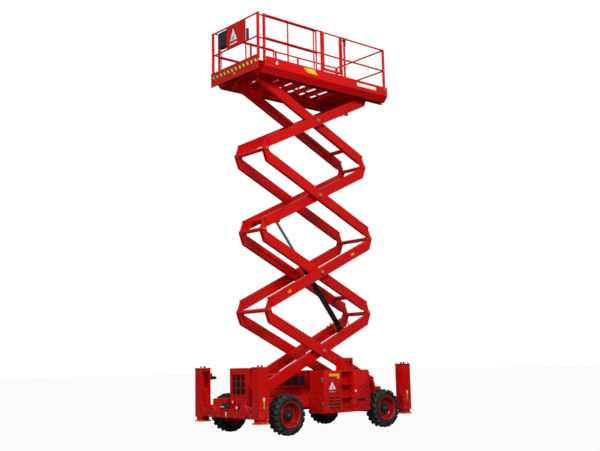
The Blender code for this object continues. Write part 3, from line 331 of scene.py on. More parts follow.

# %% [markdown]
# ## Black, rubber, steel and plastic
# Axles and the barrel are satin black and hold a film of dust. Rubber is never truly black: it is dark grey,
# with paler dust in patches. The rod is ground and chromed, so it is bright.
# Fasteners are plated with zinc, which is duller and a little mottled.

# %% Darker finishes and metals
def satin_black():
    made = Finish("satin_black", Specular_IOR_Level=0.5)
    z = made.axes()[2]
    dust = made.spread(made.noise(7.0, 6.0), 0.5, 0.8) * made.spread(1.4 - z, 0.0, 1.2)
    base = made.mixed(dust * 0.3, (0.012, 0.012, 0.014, 1), (0.12, 0.10, 0.085, 1))
    # Painted highlight: sharp edges are mixed towards a paler grey.
    made.feed("Base Color", made.mixed(made.edges(0.005) * 0.4, base, (0.10, 0.10, 0.11, 1)))
    made.feed("Roughness", 0.34 + dust * 0.35)
    made.bump(made.noise(220.0, 2.0), 0.15, 0.001, made.rounded(0.004))
    return made.material


def tyre_rubber():
    made = Finish("tyre_rubber", Specular_IOR_Level=0.35)
    dust = made.spread(made.noise(11.0, 8.0), 0.42, 0.72)
    made.feed("Base Color", made.mixed(dust * 0.5, (0.010, 0.011, 0.012, 1), (0.070, 0.070, 0.068, 1)))
    made.feed("Roughness", 0.46 + dust * 0.35)
    made.bump(made.noise(160.0, 4.0), 0.3, 0.0015)
    return made.material


def darker(colour, share):
    return (*(part * share for part in colour[:3]), 1)


def metal(name, colour, roughness, grain, depth):
    made = Finish(name, Metallic=1.0)
    mottle = made.noise(grain, 4.0)
    made.feed("Base Color", made.mixed(mottle * 0.35, colour, darker(colour, 0.55)))
    made.feed("Roughness", mottle * 0.15 + roughness)
    made.bump(made.noise(grain * 3, 2.0), 0.1, depth)
    return made.material


def moulded(name, colour, roughness):
    made = Finish(name, Specular_IOR_Level=0.45)
    mottle = made.noise(30.0, 4.0)
    made.feed("Base Color", made.mixed(mottle * 0.5, colour, darker(colour, 0.7)))
    made.feed("Roughness", mottle * 0.1 + roughness)
    made.bump(made.noise(420.0, 2.0), 0.2, 0.0006)
    return made.material


black_satin = satin_black()
rubber = tyre_rubber()
chrome = metal("chromed_rod", (0.78, 0.78, 0.80, 1), 0.06, 60.0, 0.0003)
zinc = metal("zinc_plate", (0.62, 0.61, 0.58, 1), 0.28, 90.0, 0.0006)
black_plastic = moulded("black_plastic", (0.018, 0.018, 0.020, 1), 0.42)
white_film = moulded("white_film", (0.95, 0.95, 0.93, 1), 0.38)
grey_film = moulded("grey_film", (0.33, 0.34, 0.36, 1), 0.4)
yellow_film = moulded("yellow_film", (0.97, 0.56, 0.02, 1), 0.36)
amber_lens = moulded("amber_lens", (0.90, 0.42, 0.03, 1), 0.12)
clear_lens = moulded("clear_lens", (0.80, 0.78, 0.74, 1), 0.10)
# Painted shade: a reddish near-black that fills openings and pockets in place of their shade.
painted_shade_dark = moulded("painted_shade_dark", (0.020, 0.006, 0.005, 1), 0.7)
print("finishes:", len(bpy.data.materials))

# %% [markdown]
# ## Warning stripes
# The front board carries a band of black and yellow blocks. The pattern repeats along the machine's width,
# so it comes from the Y place alone: the remainder after dividing by one period says which colour it is.

# %% Stripes
STRIPE_PERIOD = 0.142


def warning_stripes():
    made = Finish("warning_stripes", Specular_IOR_Level=0.5)
    x, y, z = made.axes()
    block = ((y + z * 0.55) % STRIPE_PERIOD) > STRIPE_PERIOD * 0.45
    worn = made.spread(made.noise(40.0, 5.0), 0.3, 0.8)
    yellow = made.mixed(worn * 0.25, (0.90, 0.56, 0.03, 1), (0.62, 0.36, 0.03, 1))
    made.feed("Base Color", made.mixed(block, (0.02, 0.018, 0.016, 1), yellow))
    made.feed("Roughness", 0.30 + worn * 0.15)
    made.bump(made.noise(300.0, 2.0), 0.1, 0.0005)
    return made.material


stripes = warning_stripes()
print("stripe period", STRIPE_PERIOD)

# %% [markdown]
# ## Paint the carried-over parts
# Nodes whose shape is already right keep it, and take a finish by the slot that the record gives them.

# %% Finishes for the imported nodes
slot_finish = {
    "red_paint": red_enamel,
    "black_paint": black_satin,
    "tyre_rubber": rubber,
    "bright_steel": chrome,
    "black_plastic": black_plastic,
}
for subpart in frame["record"]["subparts"]:
    node = nodes[subpart["node"]]
    node.data.materials.clear()
    node.data.materials.append(slot_finish[subpart["material_slot"]])
for name in ("platform_deck", "extension_deck"):
    nodes[name].data.materials.clear()
    nodes[name].data.materials.append(red_tread)

# %% [markdown]
# ## Small tools for metalwork
# Real sheet and bar never has a knife edge, so every box and most rods here are bevelled as they are made.
# Each helper adds one shape to an open bmesh. Then `piece` turns the whole bmesh into an object that rides on
# a body of the machine. The short helpers `about`, `outwards` and `circle` only work out places.

# %% Helpers for new pieces
def piece(name, bm, material, body, smooth=40):
    bmesh.ops.recalc_face_normals(bm, faces=bm.faces)
    mesh = bpy.data.meshes.new(name)
    bm.to_mesh(mesh)
    bm.free()
    mesh.shade_smooth()
    mesh.set_sharp_from_angle(angle=math.radians(smooth))
    mesh.materials.append(material)
    made = bpy.data.objects.new(name, mesh)
    scene.collection.objects.link(made)
    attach(made, body)
    return made


def about(middle, half):
    """Two places, one on each side of a middle one."""
    return (middle - half, middle + half)


def outwards(face, side, low, high):
    """Two places measured from a face towards the outside of the machine."""
    return (face + side * low, face + side * high)


def circle(u, v, radius, count, first=0.0):
    """Places round a circle, the first one turned by a share of a step."""
    turns = [2 * math.pi * (i + first) / count for i in range(count)]
    return [(u + radius * math.cos(turn), v + radius * math.sin(turn)) for turn in turns]


def ease(bm, edges, width, segments=2):
    if width > 0:
        bmesh.ops.bevel(
            bm, geom=list(edges), offset=width, offset_type="OFFSET", segments=segments, profile=0.5,
            affect="EDGES", material=-1, clamp_overlap=True,
        )


def add_box(bm, x, y, z, width=0.003, segments=2):
    made = bmesh.ops.create_cube(bm, size=1)["verts"]
    low = Vector((min(x), min(y), min(z)))
    high = Vector((max(x), max(y), max(z)))
    size = Matrix.Diagonal((*(high - low), 1))
    bmesh.ops.transform(bm, matrix=Matrix.Translation((low + high) / 2) @ size, verts=made)
    ease(bm, {edge for vert in made for edge in vert.link_edges}, width, segments)


def add_rod(bm, start, end, radius, sides=24, width=0.0, tip=None):
    """A round bar between two points, or a cone when it is given a tip radius."""
    start, end = Vector(start), Vector(end)
    run = end - start
    turn = run.to_track_quat("Z", "Y").to_matrix().to_4x4()
    made = bmesh.ops.create_cone(
        bm, cap_ends=True, segments=sides, radius1=radius, radius2=radius if tip is None else tip,
        depth=run.length, matrix=Matrix.Translation((start + end) / 2) @ turn,
    )["verts"]
    caps = {face for vert in made for face in vert.link_faces if len(face.verts) > 4}
    ease(bm, {edge for face in caps for edge in face.edges}, width)


def add_bar(bm, axis, reach, across, radius, sides=24, width=0.0, tip=None):
    """A round bar along one axis, at a place given on the other two."""
    ends = []
    for place in reach:
        end = list(across)
        end.insert("xyz".index(axis), place)
        ends.append(end)
    add_rod(bm, *ends, radius, sides, width, tip)


def add_pipe(bm, points, radius):
    """Straight runs of pipe with a ball at each bend, which reads as a formed elbow."""
    for start, end in zip(points, points[1:]):
        add_rod(bm, start, end, radius, 16)
    for bend in points[1:-1]:
        place = Matrix.Translation(bend)
        bmesh.ops.create_uvsphere(bm, u_segments=16, v_segments=10, radius=radius, matrix=place)


def add_plate(bm, outline, normal, low, high, width=0.002):
    """A flat outline given a thickness along the axis that it faces."""
    order = {"x": (2, 0, 1), "y": (0, 2, 1), "z": (0, 1, 2)}[normal]
    corners = []
    for u, v in outline:
        flat = (u, v, low)
        corners.append(bm.verts.new([flat[i] for i in order]))
    face = bmesh.ops.contextual_create(bm, geom=corners)["faces"][0]
    grown = bmesh.ops.extrude_face_region(bm, geom=[face])["geom"]
    lifted = [item for item in grown if isinstance(item, bmesh.types.BMVert)]
    push = Vector({"x": (1, 0, 0), "y": (0, 1, 0), "z": (0, 0, 1)}[normal]) * (high - low)
    bmesh.ops.translate(bm, vec=push, verts=lifted)
    ease(bm, {edge for vert in corners + lifted for edge in vert.link_edges}, width)


def add_bolt(bm, place, direction, across=0.012):
    """A hexagon head on a round washer."""
    place, direction = Vector(place), Vector(direction).normalized()
    add_rod(bm, place, place + direction * across * 0.2, across * 1.35, 20, across * 0.05)
    head = place + direction * across * 0.15
    add_rod(bm, head, place + direction * across * 0.9, across, 6, across * 0.12)


def rectangle(u, v):
    return [(u[0], v[0]), (u[1], v[0]), (u[1], v[1]), (u[0], v[1])]


HANDS = (("left", 1), ("right", -1))
corners = [(f"{fore}_{hand}", side) for fore in ("front", "rear") for hand, side in HANDS]
print("helpers ready for corners", [corner for corner, side in corners])

# %% [markdown]
# ## Tyres with chevron lugs
# Rough ground needs a deep tread. The carcass is a closed profile spun round the axle. The tread is a row of
# slanting lugs on each shoulder, set half a step apart so that the two rows meet like the bars of a chevron.
# One lug starts as a cube that is cut across, then its slices are slid round and bent down over the shoulder.

# %% Tyres
tyre_low, tyre_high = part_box("tyre_front_left")
TYRE_RADIUS = tyre_high.z - axle_z
TYRE_HALF = (tyre_high.y - tyre_low.y) / 2
BEAD_RADIUS = 0.262
TYRE_STEPS = 76
LUGS = 19
LUG_HEIGHT = 0.034
LUG_WIDTH = 0.058
LUG_SLANT = 0.093
LUG_DROP = 0.040
LUG_CLEARANCE = 0.005


def lug_mesh():
    """One lug of the left-hand row, standing on the crown at the top of the wheel."""
    bm = bmesh.new()
    made = bmesh.ops.create_cube(bm, size=1)["verts"]
    edges = {edge for vert in made for edge in vert.link_edges}
    across = [edge for edge in edges if abs(edge.verts[0].co.y - edge.verts[1].co.y) > 0.5]
    bmesh.ops.subdivide_edges(bm, edges=across, cuts=4)
    top = TYRE_RADIUS - LUG_CLEARANCE
    for vert in bm.verts:
        share = vert.co.y + 0.5
        raised = vert.co.z > 0
        shoulder = max(0.0, share - 0.55) / 0.45
        radius = top - LUG_DROP * shoulder ** 2.2 - (0.0 if raised else LUG_HEIGHT + 0.012)
        wide = LUG_WIDTH * (0.80 + 0.35 * share) * (1.0 if raised else 1.3)
        slide = LUG_SLANT * (share - 0.5)
        vert.co = Vector((vert.co.x * wide + slide, 0.004 + share * (TYRE_HALF - 0.006), radius))
    ease(bm, [edge for edge in bm.edges if edge.calc_face_angle(0) > 0.6], 0.004, 1)
    mesh = bpy.data.meshes.new("lug")
    bm.to_mesh(mesh)
    bm.free()
    return mesh


def add_copy(bm, mesh, matrix):
    before = len(bm.verts)
    bm.from_mesh(mesh)
    bm.verts.ensure_lookup_table()
    bmesh.ops.transform(bm, matrix=matrix, verts=bm.verts[before:])


def spun(bm, profile, centre, steps):
    """Spins a closed profile of (radius, place along the axle) round the axle."""
    points = [bm.verts.new(centre + Vector((radius, along, 0))) for radius, along in profile]
    edges = [bm.edges.new(pair) for pair in zip(points, points[1:] + points[:1])]
    bmesh.ops.spin(
        bm, geom=points + edges, cent=centre, axis=(0, 1, 0), angle=2 * math.pi, steps=steps, use_merge=True,
        use_duplicate=False,
    )


def carcass_profile():
    """One side from bead to crown, then the same mirrored."""
    crown = TYRE_RADIUS - LUG_HEIGHT
    side = [
        (BEAD_RADIUS, TYRE_HALF - 0.030), (BEAD_RADIUS + 0.012, TYRE_HALF - 0.016),
        (BEAD_RADIUS + 0.030, TYRE_HALF - 0.017), (BEAD_RADIUS + 0.055, TYRE_HALF - 0.007),
        (BEAD_RADIUS + 0.060, TYRE_HALF - 0.003), (BEAD_RADIUS + 0.068, TYRE_HALF - 0.003),
        (BEAD_RADIUS + 0.073, TYRE_HALF - 0.007), (crown - 0.035, TYRE_HALF - 0.012),
        (crown - 0.010, TYRE_HALF - 0.032), (crown, TYRE_HALF - 0.080),
    ]
    return side + [(radius, -along) for radius, along in reversed(side)]


def wheel_centre(corner):
    low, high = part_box(f"tyre_{corner}")
    return (low + high) / 2


def tyre(corner):
    centre = wheel_centre(corner)
    bm = bmesh.new()
    spun(bm, carcass_profile(), centre, TYRE_STEPS)
    for row, half in ((1, 0.0), (-1, 0.5)):
        for i in range(LUGS):
            turn = Matrix.Rotation((i + half) * 2 * math.pi / LUGS, 4, "Y") @ Matrix.Diagonal((1, row, 1, 1))
            add_copy(bm, lug, Matrix.Translation(centre) @ turn)
    made = piece(f"treaded_tyre_{corner}", bm, rubber, f"wheel_{corner}", 35)
    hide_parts(f"tyre_{corner}")


lug = lug_mesh()
for corner, side in corners:
    tyre(corner)
tread_faces = bpy.data.objects["treaded_tyre_front_left"].data.polygons
print("tyre triangles:", sum(len(face.vertices) - 2 for face in tread_faces))

# %% [markdown]
# ## Rims
# The rim is a pressed steel dish, painted like the body but in a darker red that is painted shade, with a rolled
# lip that holds the tyre's bead.
# A spun profile gives the dish, with a bore for the stub axle. The nuts, studs and the black hub are added on
# top, and a bright greasing plug marks the middle of the hub.

# %% Rims, nuts and hubs
NUTS = 10
NUT_CIRCLE = 0.112
HUB_BOLTS = 8
HUB_BOLT_CIRCLE = 0.080
HUB_BORE = 0.052
RIM_SEAT = 0.2555


def rim_profile(half):
    return [
        (HUB_BORE, 0.040), (0.130, 0.040), (0.142, 0.036), (0.160, 0.026), (0.176, 0.014), (0.205, 0.012),
        (0.222, 0.030), (0.238, half - 0.040), (0.246, half - 0.014), (0.254, half - 0.004), (0.264, half),
        (0.272, half - 0.003), (0.272, half - 0.007), (0.262, half - 0.009), (RIM_SEAT, half - 0.014),
        (RIM_SEAT, -half + 0.014), (0.262, -half + 0.009), (0.272, -half + 0.007), (0.272, -half + 0.002),
        (0.262, -half + 0.001), (0.246, -half + 0.010), (0.240, -0.02), (0.205, -0.004), (0.10, -0.004),
        (HUB_BORE, -0.004),
    ]


def rim(corner, side):
    centre = wheel_centre(corner)
    body = f"wheel_{corner}"
    bm = bmesh.new()
    spun(bm, [(radius, along * side) for radius, along in rim_profile(TYRE_HALF)], centre, 64)
    bmesh.ops.remove_doubles(bm, verts=bm.verts, dist=0.0002)
    # The dish carries the darker red of painted shade.
    made = piece(f"dished_rim_{corner}", bm, shaded_rim_enamel, body, 30)
    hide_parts(f"rim_{corner}")

    bm = bmesh.new()
    for place in circle(centre.x, centre.z, NUT_CIRCLE, NUTS):
        add_bar(bm, "y", outwards(centre.y, side, 0.048, 0.064), place, 0.014, 6, 0.002)
        add_bar(bm, "y", outwards(centre.y, side, 0.048, 0.076), place, 0.0075, 12, 0.001)
    piece(f"wheel_nuts_{corner}", bm, black_satin, body)

    bm = bmesh.new()
    middle = (centre.x, centre.z)
    for start, end, radius in ((0.034, 0.050, 0.130), (0.044, 0.078, 0.090), (0.044, 0.095, 0.070)):
        add_bar(bm, "y", outwards(centre.y, side, start, end), middle, radius, 40, 0.006)
    for x, z in circle(centre.x, centre.z, HUB_BOLT_CIRCLE, HUB_BOLTS, 0.5):
        add_bolt(bm, (x, centre.y + side * 0.077, z), (0, side, 0), 0.006)
    piece(f"hub_{corner}", bm, black_satin, body)
    bm = bmesh.new()
    add_bar(bm, "y", outwards(centre.y, side, 0.094, 0.102), middle, 0.020, 24, 0.003)
    add_bar(bm, "y", outwards(centre.y, side, 0.094, 0.108), middle, 0.009, 6, 0.002)
    piece(f"hub_plug_{corner}", bm, zinc, body)


for corner, side in corners:
    rim(corner, side)
print("wheels done, lug height", LUG_HEIGHT)

# %% [markdown]
# ## Guard rails
# A work platform's rail is round tube welded to square posts. Smooth tubes need more sides than the packed
# ones have, so each rail set is built again from the same heights and corners. Joints get a ring of weld.

# %% Rail tools and heights
RAIL_RADIUS = 0.0195
POST_HALF = 0.025
SLIM_POST_HALF = 0.0198
rail_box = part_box("guard_rail_rear_right")
rail_top = rail_box[1].z - 0.02
rail_mid = floor_z + (rail_top - floor_z) * 0.5047
post_foot = rail_box[0].z
post_top = rail_top + 0.019
rear_post_x = rail_box[0].x + POST_HALF
front_post_x = rail_box[1].x - POST_HALF
gate_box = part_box("entry_gate")
gate_front_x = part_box("guard_rail_left_front")[0].x + POST_HALF
THIN_POST_X = 0.27
gate_posts = (-0.71, -0.61)
far_posts = (-0.70, 0.02, 0.80)
hinge_heights = (floor_z + 0.30, floor_z + 0.90)


def add_post(bm, x, y, half=POST_HALF, foot=post_foot):
    add_box(bm, about(x, half), about(y, half), (foot, post_top), 0.006, 3)


def add_weld(bm, x, y, z, radius=RAIL_RADIUS, direction="x"):
    """A low ring of weld where a tube meets its post."""
    offset = Vector((0.004, 0, 0)) if direction == "x" else Vector((0, 0.004, 0))
    place = Vector((x, y, z))
    add_rod(bm, place - offset, place + offset, radius + 0.004, 20, 0.002)


print("rail top", round(rail_top, 3), "mid", round(rail_mid, 3))

# %% The rails on the main deck
bm = bmesh.new()
for x in (gate_front_x, front_post_x):
    add_post(bm, x, rail_y)
add_bar(bm, "z", (post_foot, rail_top), (THIN_POST_X, rail_y), 0.016, 20)
for z in (rail_top, rail_mid):
    add_bar(bm, "x", (gate_front_x, front_post_x), (rail_y, z), RAIL_RADIUS)
    add_weld(bm, gate_front_x + POST_HALF, rail_y, z)
    add_weld(bm, front_post_x - POST_HALF, rail_y, z)
left_rail = piece("left_guard_rail", bm, red_enamel, "platform")
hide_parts("guard_rail_left_front")

bm = bmesh.new()
for hand, side in reversed(HANDS):
    add_post(bm, rear_post_x, side * rail_y)
add_post(bm, front_post_x, -rail_y)
for x in gate_posts:
    add_post(bm, x, rail_y, SLIM_POST_HALF)
for x in far_posts:
    add_post(bm, x, -rail_y, SLIM_POST_HALF)
for z in (rail_top, rail_mid):
    add_bar(bm, "x", (rear_post_x, gate_posts[1]), (rail_y, z), RAIL_RADIUS)
    add_bar(bm, "x", (rear_post_x, front_post_x), (-rail_y, z), RAIL_RADIUS)
    add_bar(bm, "y", (-rail_y, rail_y), (rear_post_x, z), RAIL_RADIUS)
    for hand, side in reversed(HANDS):
        add_weld(bm, rear_post_x + POST_HALF, side * rail_y, z)
        add_weld(bm, rear_post_x, side * (rail_y - POST_HALF), z, direction="y")
for z in hinge_heights:
    add_box(bm, (gate_posts[1], -0.5720), about(rail_y, 0.008), about(z, 0.03), 0.003)
rear_rail = piece("rear_and_right_guard_rail", bm, red_enamel, "platform")
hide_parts("guard_rail_rear_right")
print("main rails done")

# %% [markdown]
# ## Gate and extension rails
# The gate swings on its rear upright. The extension deck carries its own rails, which slide forward with it,
# just inside the fixed ones. Both are made like the rails above, so that they look like one family.

# %% Gate and extension rails
GATE_TUBE = 0.0178
SLIDING_TUBE = 0.0168
gate_low, gate_high = gate_box[0].x + 0.018, gate_box[1].x - 0.018
gate_foot = gate_box[0].z + 0.012
bm = bmesh.new()
for x in (gate_low, gate_high):
    add_bar(bm, "z", (gate_foot - 0.004, rail_top + 0.004), (x, rail_y), GATE_TUBE, 24, 0.003)
for z in (rail_top, rail_mid, gate_foot):
    add_bar(bm, "x", (gate_low, gate_high), (rail_y, z), GATE_TUBE)
kick_height = (gate_foot - 0.010, gate_foot + 0.05)
add_box(bm, (gate_low + 0.005, gate_high - 0.005), about(rail_y, 0.004), kick_height)
gate_piece = piece("gate_frame", bm, red_enamel, "gate")
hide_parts("entry_gate")

rail_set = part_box("extension_rails")
extension_post_x = rail_set[1].x - POST_HALF
extension_side_y = rail_y - 0.061
extension_foot = rail_set[0].z
extension_reach = rail_set[1].y - POST_HALF
extension_rear_x = rail_set[0].x + 0.018
bm = bmesh.new()
for hand, side in reversed(HANDS):
    add_post(bm, extension_post_x, side * extension_reach, foot=extension_foot)
    side_y = side * extension_side_y
    for x in (extension_rear_x, 1.0):
        add_bar(bm, "z", (extension_foot, rail_top), (x, side_y), GATE_TUBE)
    for z in (rail_top, rail_mid):
        add_bar(bm, "x", (extension_rear_x, extension_post_x), (side_y, z), SLIDING_TUBE)
    shoe = (side * (extension_side_y - 0.01), side * extension_reach)
    add_box(bm, about(extension_post_x, 0.024), shoe, (extension_foot, extension_foot + 0.05))
for z in (rail_top, rail_mid):
    add_bar(bm, "y", (-extension_reach, extension_reach), (extension_post_x, z), GATE_TUBE)
    for hand, side in reversed(HANDS):
        add_weld(bm, extension_post_x, side * (extension_reach - POST_HALF), z, GATE_TUBE, "y")
sliding_rail = piece("sliding_guard_rail", bm, red_enamel, "extension")
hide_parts("extension_rails")
print("gate", round(gate_high - gate_low, 3), "m wide")

# %% [markdown]
# ## Clamps, latch and bolts on the rails
# The thin upright has a dark clamp at its head, and the gate is held by a spring latch at the double post.
# These small dark shapes break up the red and show how the platform is used.

# %% Rail fittings
skirt_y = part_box("platform_frame")[1].y
bm = bmesh.new()
add_box(bm, about(THIN_POST_X, 0.035), about(rail_y, 0.026), (rail_top - 0.045, rail_top - 0.012), 0.004)
latch_y, latch_z = (rail_y - 0.028, rail_y + 0.030), (rail_top - 0.075, rail_top - 0.03)
add_box(bm, about(gate_posts[0], 0.035), latch_y, latch_z, 0.005)
add_box(bm, (-0.735, -0.705), (rail_y + 0.018, rail_y + 0.032), (rail_top - 0.20, rail_top - 0.07), 0.004)
for hand, side in reversed(HANDS):
    add_box(bm, (1.68, 1.712), (side * 0.80, side * 0.836), about(rail_mid, 0.02), 0.004)
piece("rail_clamps", bm, black_plastic, "platform")
bm = bmesh.new()
for z in hinge_heights:
    add_bar(bm, "z", about(z, 0.045), (gate_low, rail_y), 0.0215, 20, 0.003)
piece("gate_hinge_sleeves", bm, red_enamel, "gate")
bm = bmesh.new()
for z in hinge_heights:
    add_bolt(bm, (gate_posts[1], rail_y + SLIM_POST_HALF, z + 0.015), (0, 1, 0), 0.009)
    add_bolt(bm, (gate_posts[1], rail_y + SLIM_POST_HALF, z - 0.015), (0, 1, 0), 0.009)
for hand, side in reversed(HANDS):
    for x in (rear_post_x, front_post_x):
        for rise in (0.03, 0.08):
            add_bolt(bm, (x, side * skirt_y, floor_z + rise), (0, side, 0), 0.009)
piece("rail_bolts", bm, zinc, "platform")
print("rail fittings done, skirt at", round(skirt_y, 4))

# %% [markdown]
# ## Front board, labels and sign
# Labels are thin films, so each is a plate about a millimetre thick with the faintest bevel.
# They are blank or show a plain triangle, because words would belong to a maker.

# %% Labels on the platform
FILM = 0.0012


def film(name, outline, normal, face, out, material, body):
    """A label lying on a face, thickening outwards."""
    bm = bmesh.new()
    low, high = sorted((face, face + out * FILM))
    add_plate(bm, outline, normal, low, high, 0.0003)
    return piece(name, bm, material, body)


def triangle(middle, foot, width, height):
    return [(middle - width / 2, foot), (middle + width / 2, foot), (middle, foot + height)]


board_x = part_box("extension_deck")[1].x
band = rectangle((-0.862, 0.862), (floor_z - 0.056, floor_z + 0.018))
film("stripe_band", band, "x", board_x, 1, stripes, "extension")
film("board_notice", triangle(0.02, floor_z - 0.135, 0.07, 0.055), "x", board_x, 1, yellow_film, "extension")
skirt_triangle = triangle(1.416, floor_z - 0.03, 0.095, 0.085)
film("skirt_triangle", skirt_triangle, "y", skirt_y, 1, white_film, "platform")
slanted = [
    (0.20, floor_z - 0.04), (0.52, floor_z - 0.04), (0.625, floor_z + 0.065), (0.30, floor_z + 0.075),
]
film("skirt_yellow_label", slanted, "y", skirt_y, 1, yellow_film, "platform")
name_plate = rectangle((-1.71, -1.06), (floor_z - 0.038, floor_z + 0.042))
film("skirt_white_plate", name_plate, "y", skirt_y, 1, white_film, "platform")
film("far_skirt_white_plate", name_plate, "y", -skirt_y, -1, white_film, "platform")

sign_low, sign_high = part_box("sign_panel")
sign_x = sign_high.x
large, small = triangle(-0.03, sign_low.z + 0.15, 0.27, 0.29), triangle(-0.03, sign_low.z + 0.18, 0.08, 0.11)
bar = rectangle((-0.17, 0.11), (sign_low.z + 0.065, sign_low.z + 0.10))
film("sign_triangle", large, "x", sign_x, 1, white_film, "extension")
film("sign_triangle_middle", small, "x", sign_x + FILM, 1, grey_film, "extension")
film("sign_bar", bar, "x", sign_x, 1, white_film, "extension")
bm = bmesh.new()
for y in (sign_low.y + 0.03, sign_high.y - 0.03):
    for z in (sign_low.z + 0.03, sign_high.z - 0.03):
        add_bolt(bm, (sign_x, y, z), (1, 0, 0), 0.007)
piece("sign_bolts", bm, zinc, "extension")
bm = bmesh.new()
holder_x = (extension_post_x - 0.03, extension_post_x + 0.028)
add_box(bm, holder_x, (0.45, 0.49), (rail_mid, rail_mid + 0.28), 0.006)
piece("document_holder", bm, black_plastic, "extension")
print("labels done")

# %% [markdown]
# ## Control box
# The driver's box hangs inside the front rail: a sealed plastic case with a joystick, a guarded stop button,
# rocker switches and ribs. Bevelled boxes give the case, and the stick is a short cone with a round top.

# %% Control box
low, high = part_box("control_box")
top = high.z
bm = bmesh.new()
add_box(bm, (low.x, high.x), (low.y, high.y), (low.z, top - 0.03), 0.012, 3)
add_box(bm, (low.x - 0.004, high.x - 0.01), (low.y - 0.004, high.y + 0.004), (top - 0.06, top - 0.035), 0.006)
for i in range(5):
    z = low.z + 0.06 + i * 0.05
    add_box(bm, about(low.x, 0.006), (low.y + 0.03, high.y - 0.03), (z, z + 0.012), 0.003)
control = piece("control_case", bm, black_plastic, "extension")
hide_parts("control_box")
middle_x = (low.x + high.x) / 2
stick, button = (middle_x, low.y + 0.09), (middle_x, high.y - 0.05)
bm = bmesh.new()
add_bar(bm, "z", (top - 0.035, top - 0.005), stick, 0.034, 24, 0.006, 0.018)
add_bar(bm, "z", (top - 0.01, top + 0.012), stick, 0.012, 16, 0.003)
for i in range(3):
    y = low.y + 0.17 + i * 0.035
    add_box(bm, about(middle_x, 0.012), (y, y + 0.02), (top - 0.035, top - 0.022), 0.003)
piece("joystick_and_switches", bm, black_satin, "extension")
bm = bmesh.new()
add_bar(bm, "z", (top - 0.034, top - 0.012), button, 0.016, 24, 0.003)
add_bar(bm, "z", (top - 0.014, top - 0.001), button, 0.026, 24, 0.005)
piece("stop_button", bm, red_enamel, "extension")
plate = rectangle((low.y + 0.05, low.y + 0.16), (low.z + 0.02, low.z + 0.05))
film("control_label", plate, "x", low.x - 0.0061, -1, grey_film, "extension")
print("control box done")

# %% [markdown]
# ## Lift cylinder
# The barrel is drawn tube, so it is made again with a smooth round section, a gland and a clamped pipe.
# The rod is chromed and slides inside the barrel, so it rides on its own body and keeps the same line.

# %% Lift cylinder
BARREL_LENGTH = 2.05
ROD_LENGTH = 3.1744
ROD_START = 1.18
cylinder_foot = joint_places["cylinder_pivot"]
rod_axis = next(Vector(joint["axis"]) for joint in frame["joints"] if joint["name"] == "cylinder_rod")


def along_cylinder(distance, y=0.0):
    """A place on the cylinder's line, or beside it."""
    return cylinder_foot + rod_axis * distance + Vector((0, y, 0))


def add_collar(bm, start, end, radius, width):
    add_rod(bm, along_cylinder(start), along_cylinder(end), radius, 40, width)


bm = bmesh.new()
add_collar(bm, 0.05, BARREL_LENGTH - 0.09, 0.062, 0.003)
add_collar(bm, BARREL_LENGTH - 0.10, BARREL_LENGTH - 0.001, 0.070, 0.005)
add_collar(bm, 0.04, 0.16, 0.069, 0.006)
add_bar(bm, "y", (-0.05, 0.05), (cylinder_foot.x, cylinder_foot.z), 0.085, 40, 0.004)
for distance in (0.55, 1.05, 1.55):
    add_collar(bm, distance, distance + 0.035, 0.067, 0.003)
    place = along_cylinder(distance)
    add_box(bm, about(place.x, 0.02), (0.055, 0.098), about(place.z, 0.02), 0.004)
barrel = piece("barrel_shell", bm, black_satin, "lift_cylinder")
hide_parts("lift_cylinder_barrel")
bm = bmesh.new()
pipe_route = ((0.12, 0.052), (0.20, 0.082), (1.93, 0.082), (1.99, 0.055))
add_pipe(bm, [along_cylinder(distance, y) for distance, y in pipe_route], 0.011)
piece("barrel_pipe", bm, black_satin, "lift_cylinder")
bm = bmesh.new()
add_rod(bm, along_cylinder(ROD_START), along_cylinder(ROD_LENGTH - 0.03), 0.032, 40, 0.002)
chrome_rod = piece("chrome_rod", bm, chrome, "lift_rod")
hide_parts("lift_cylinder_rod")
bm = bmesh.new()
top_eye = along_cylinder(ROD_LENGTH)
add_bar(bm, "y", (-0.05, 0.05), (top_eye.x, top_eye.z), 0.060, 32, 0.004)
add_bar(bm, "y", (-0.068, 0.068), (top_eye.x, top_eye.z), 0.035, 24, 0.003)
piece("rod_eye", bm, black_satin, "lift_rod")
print("cylinder", round(ROD_LENGTH, 3), "m between its pins")

# %% [markdown]
# ## Pins, bosses and washers on the arms
# Each pin ends in a keeper bolted to the arm's outer face, and each crossing has a round boss with a pale
# washer and a bolt. A loop over the stages puts one set on every pin, riding on the arm that holds it.

# %% Arm hardware
INNER_FACE = 0.418
OUTER_FACE = 0.548


def pin_place(level, end):
    return Vector((front_x if end == "front" else rear_x, 0, base_z + level * stage_height))


def add_pin_end(bm, steel, place, side, face):
    """A round keeper over a pin's end with a locking bolt on it."""
    at = (place.x, place.z)
    add_bar(bm, "y", outwards(side * face, side, 0.001, 0.017), at, 0.0465, 32, 0.004)
    add_bolt(steel, (place.x, side * (face + 0.0165), place.z), (0, side, 0), 0.014)


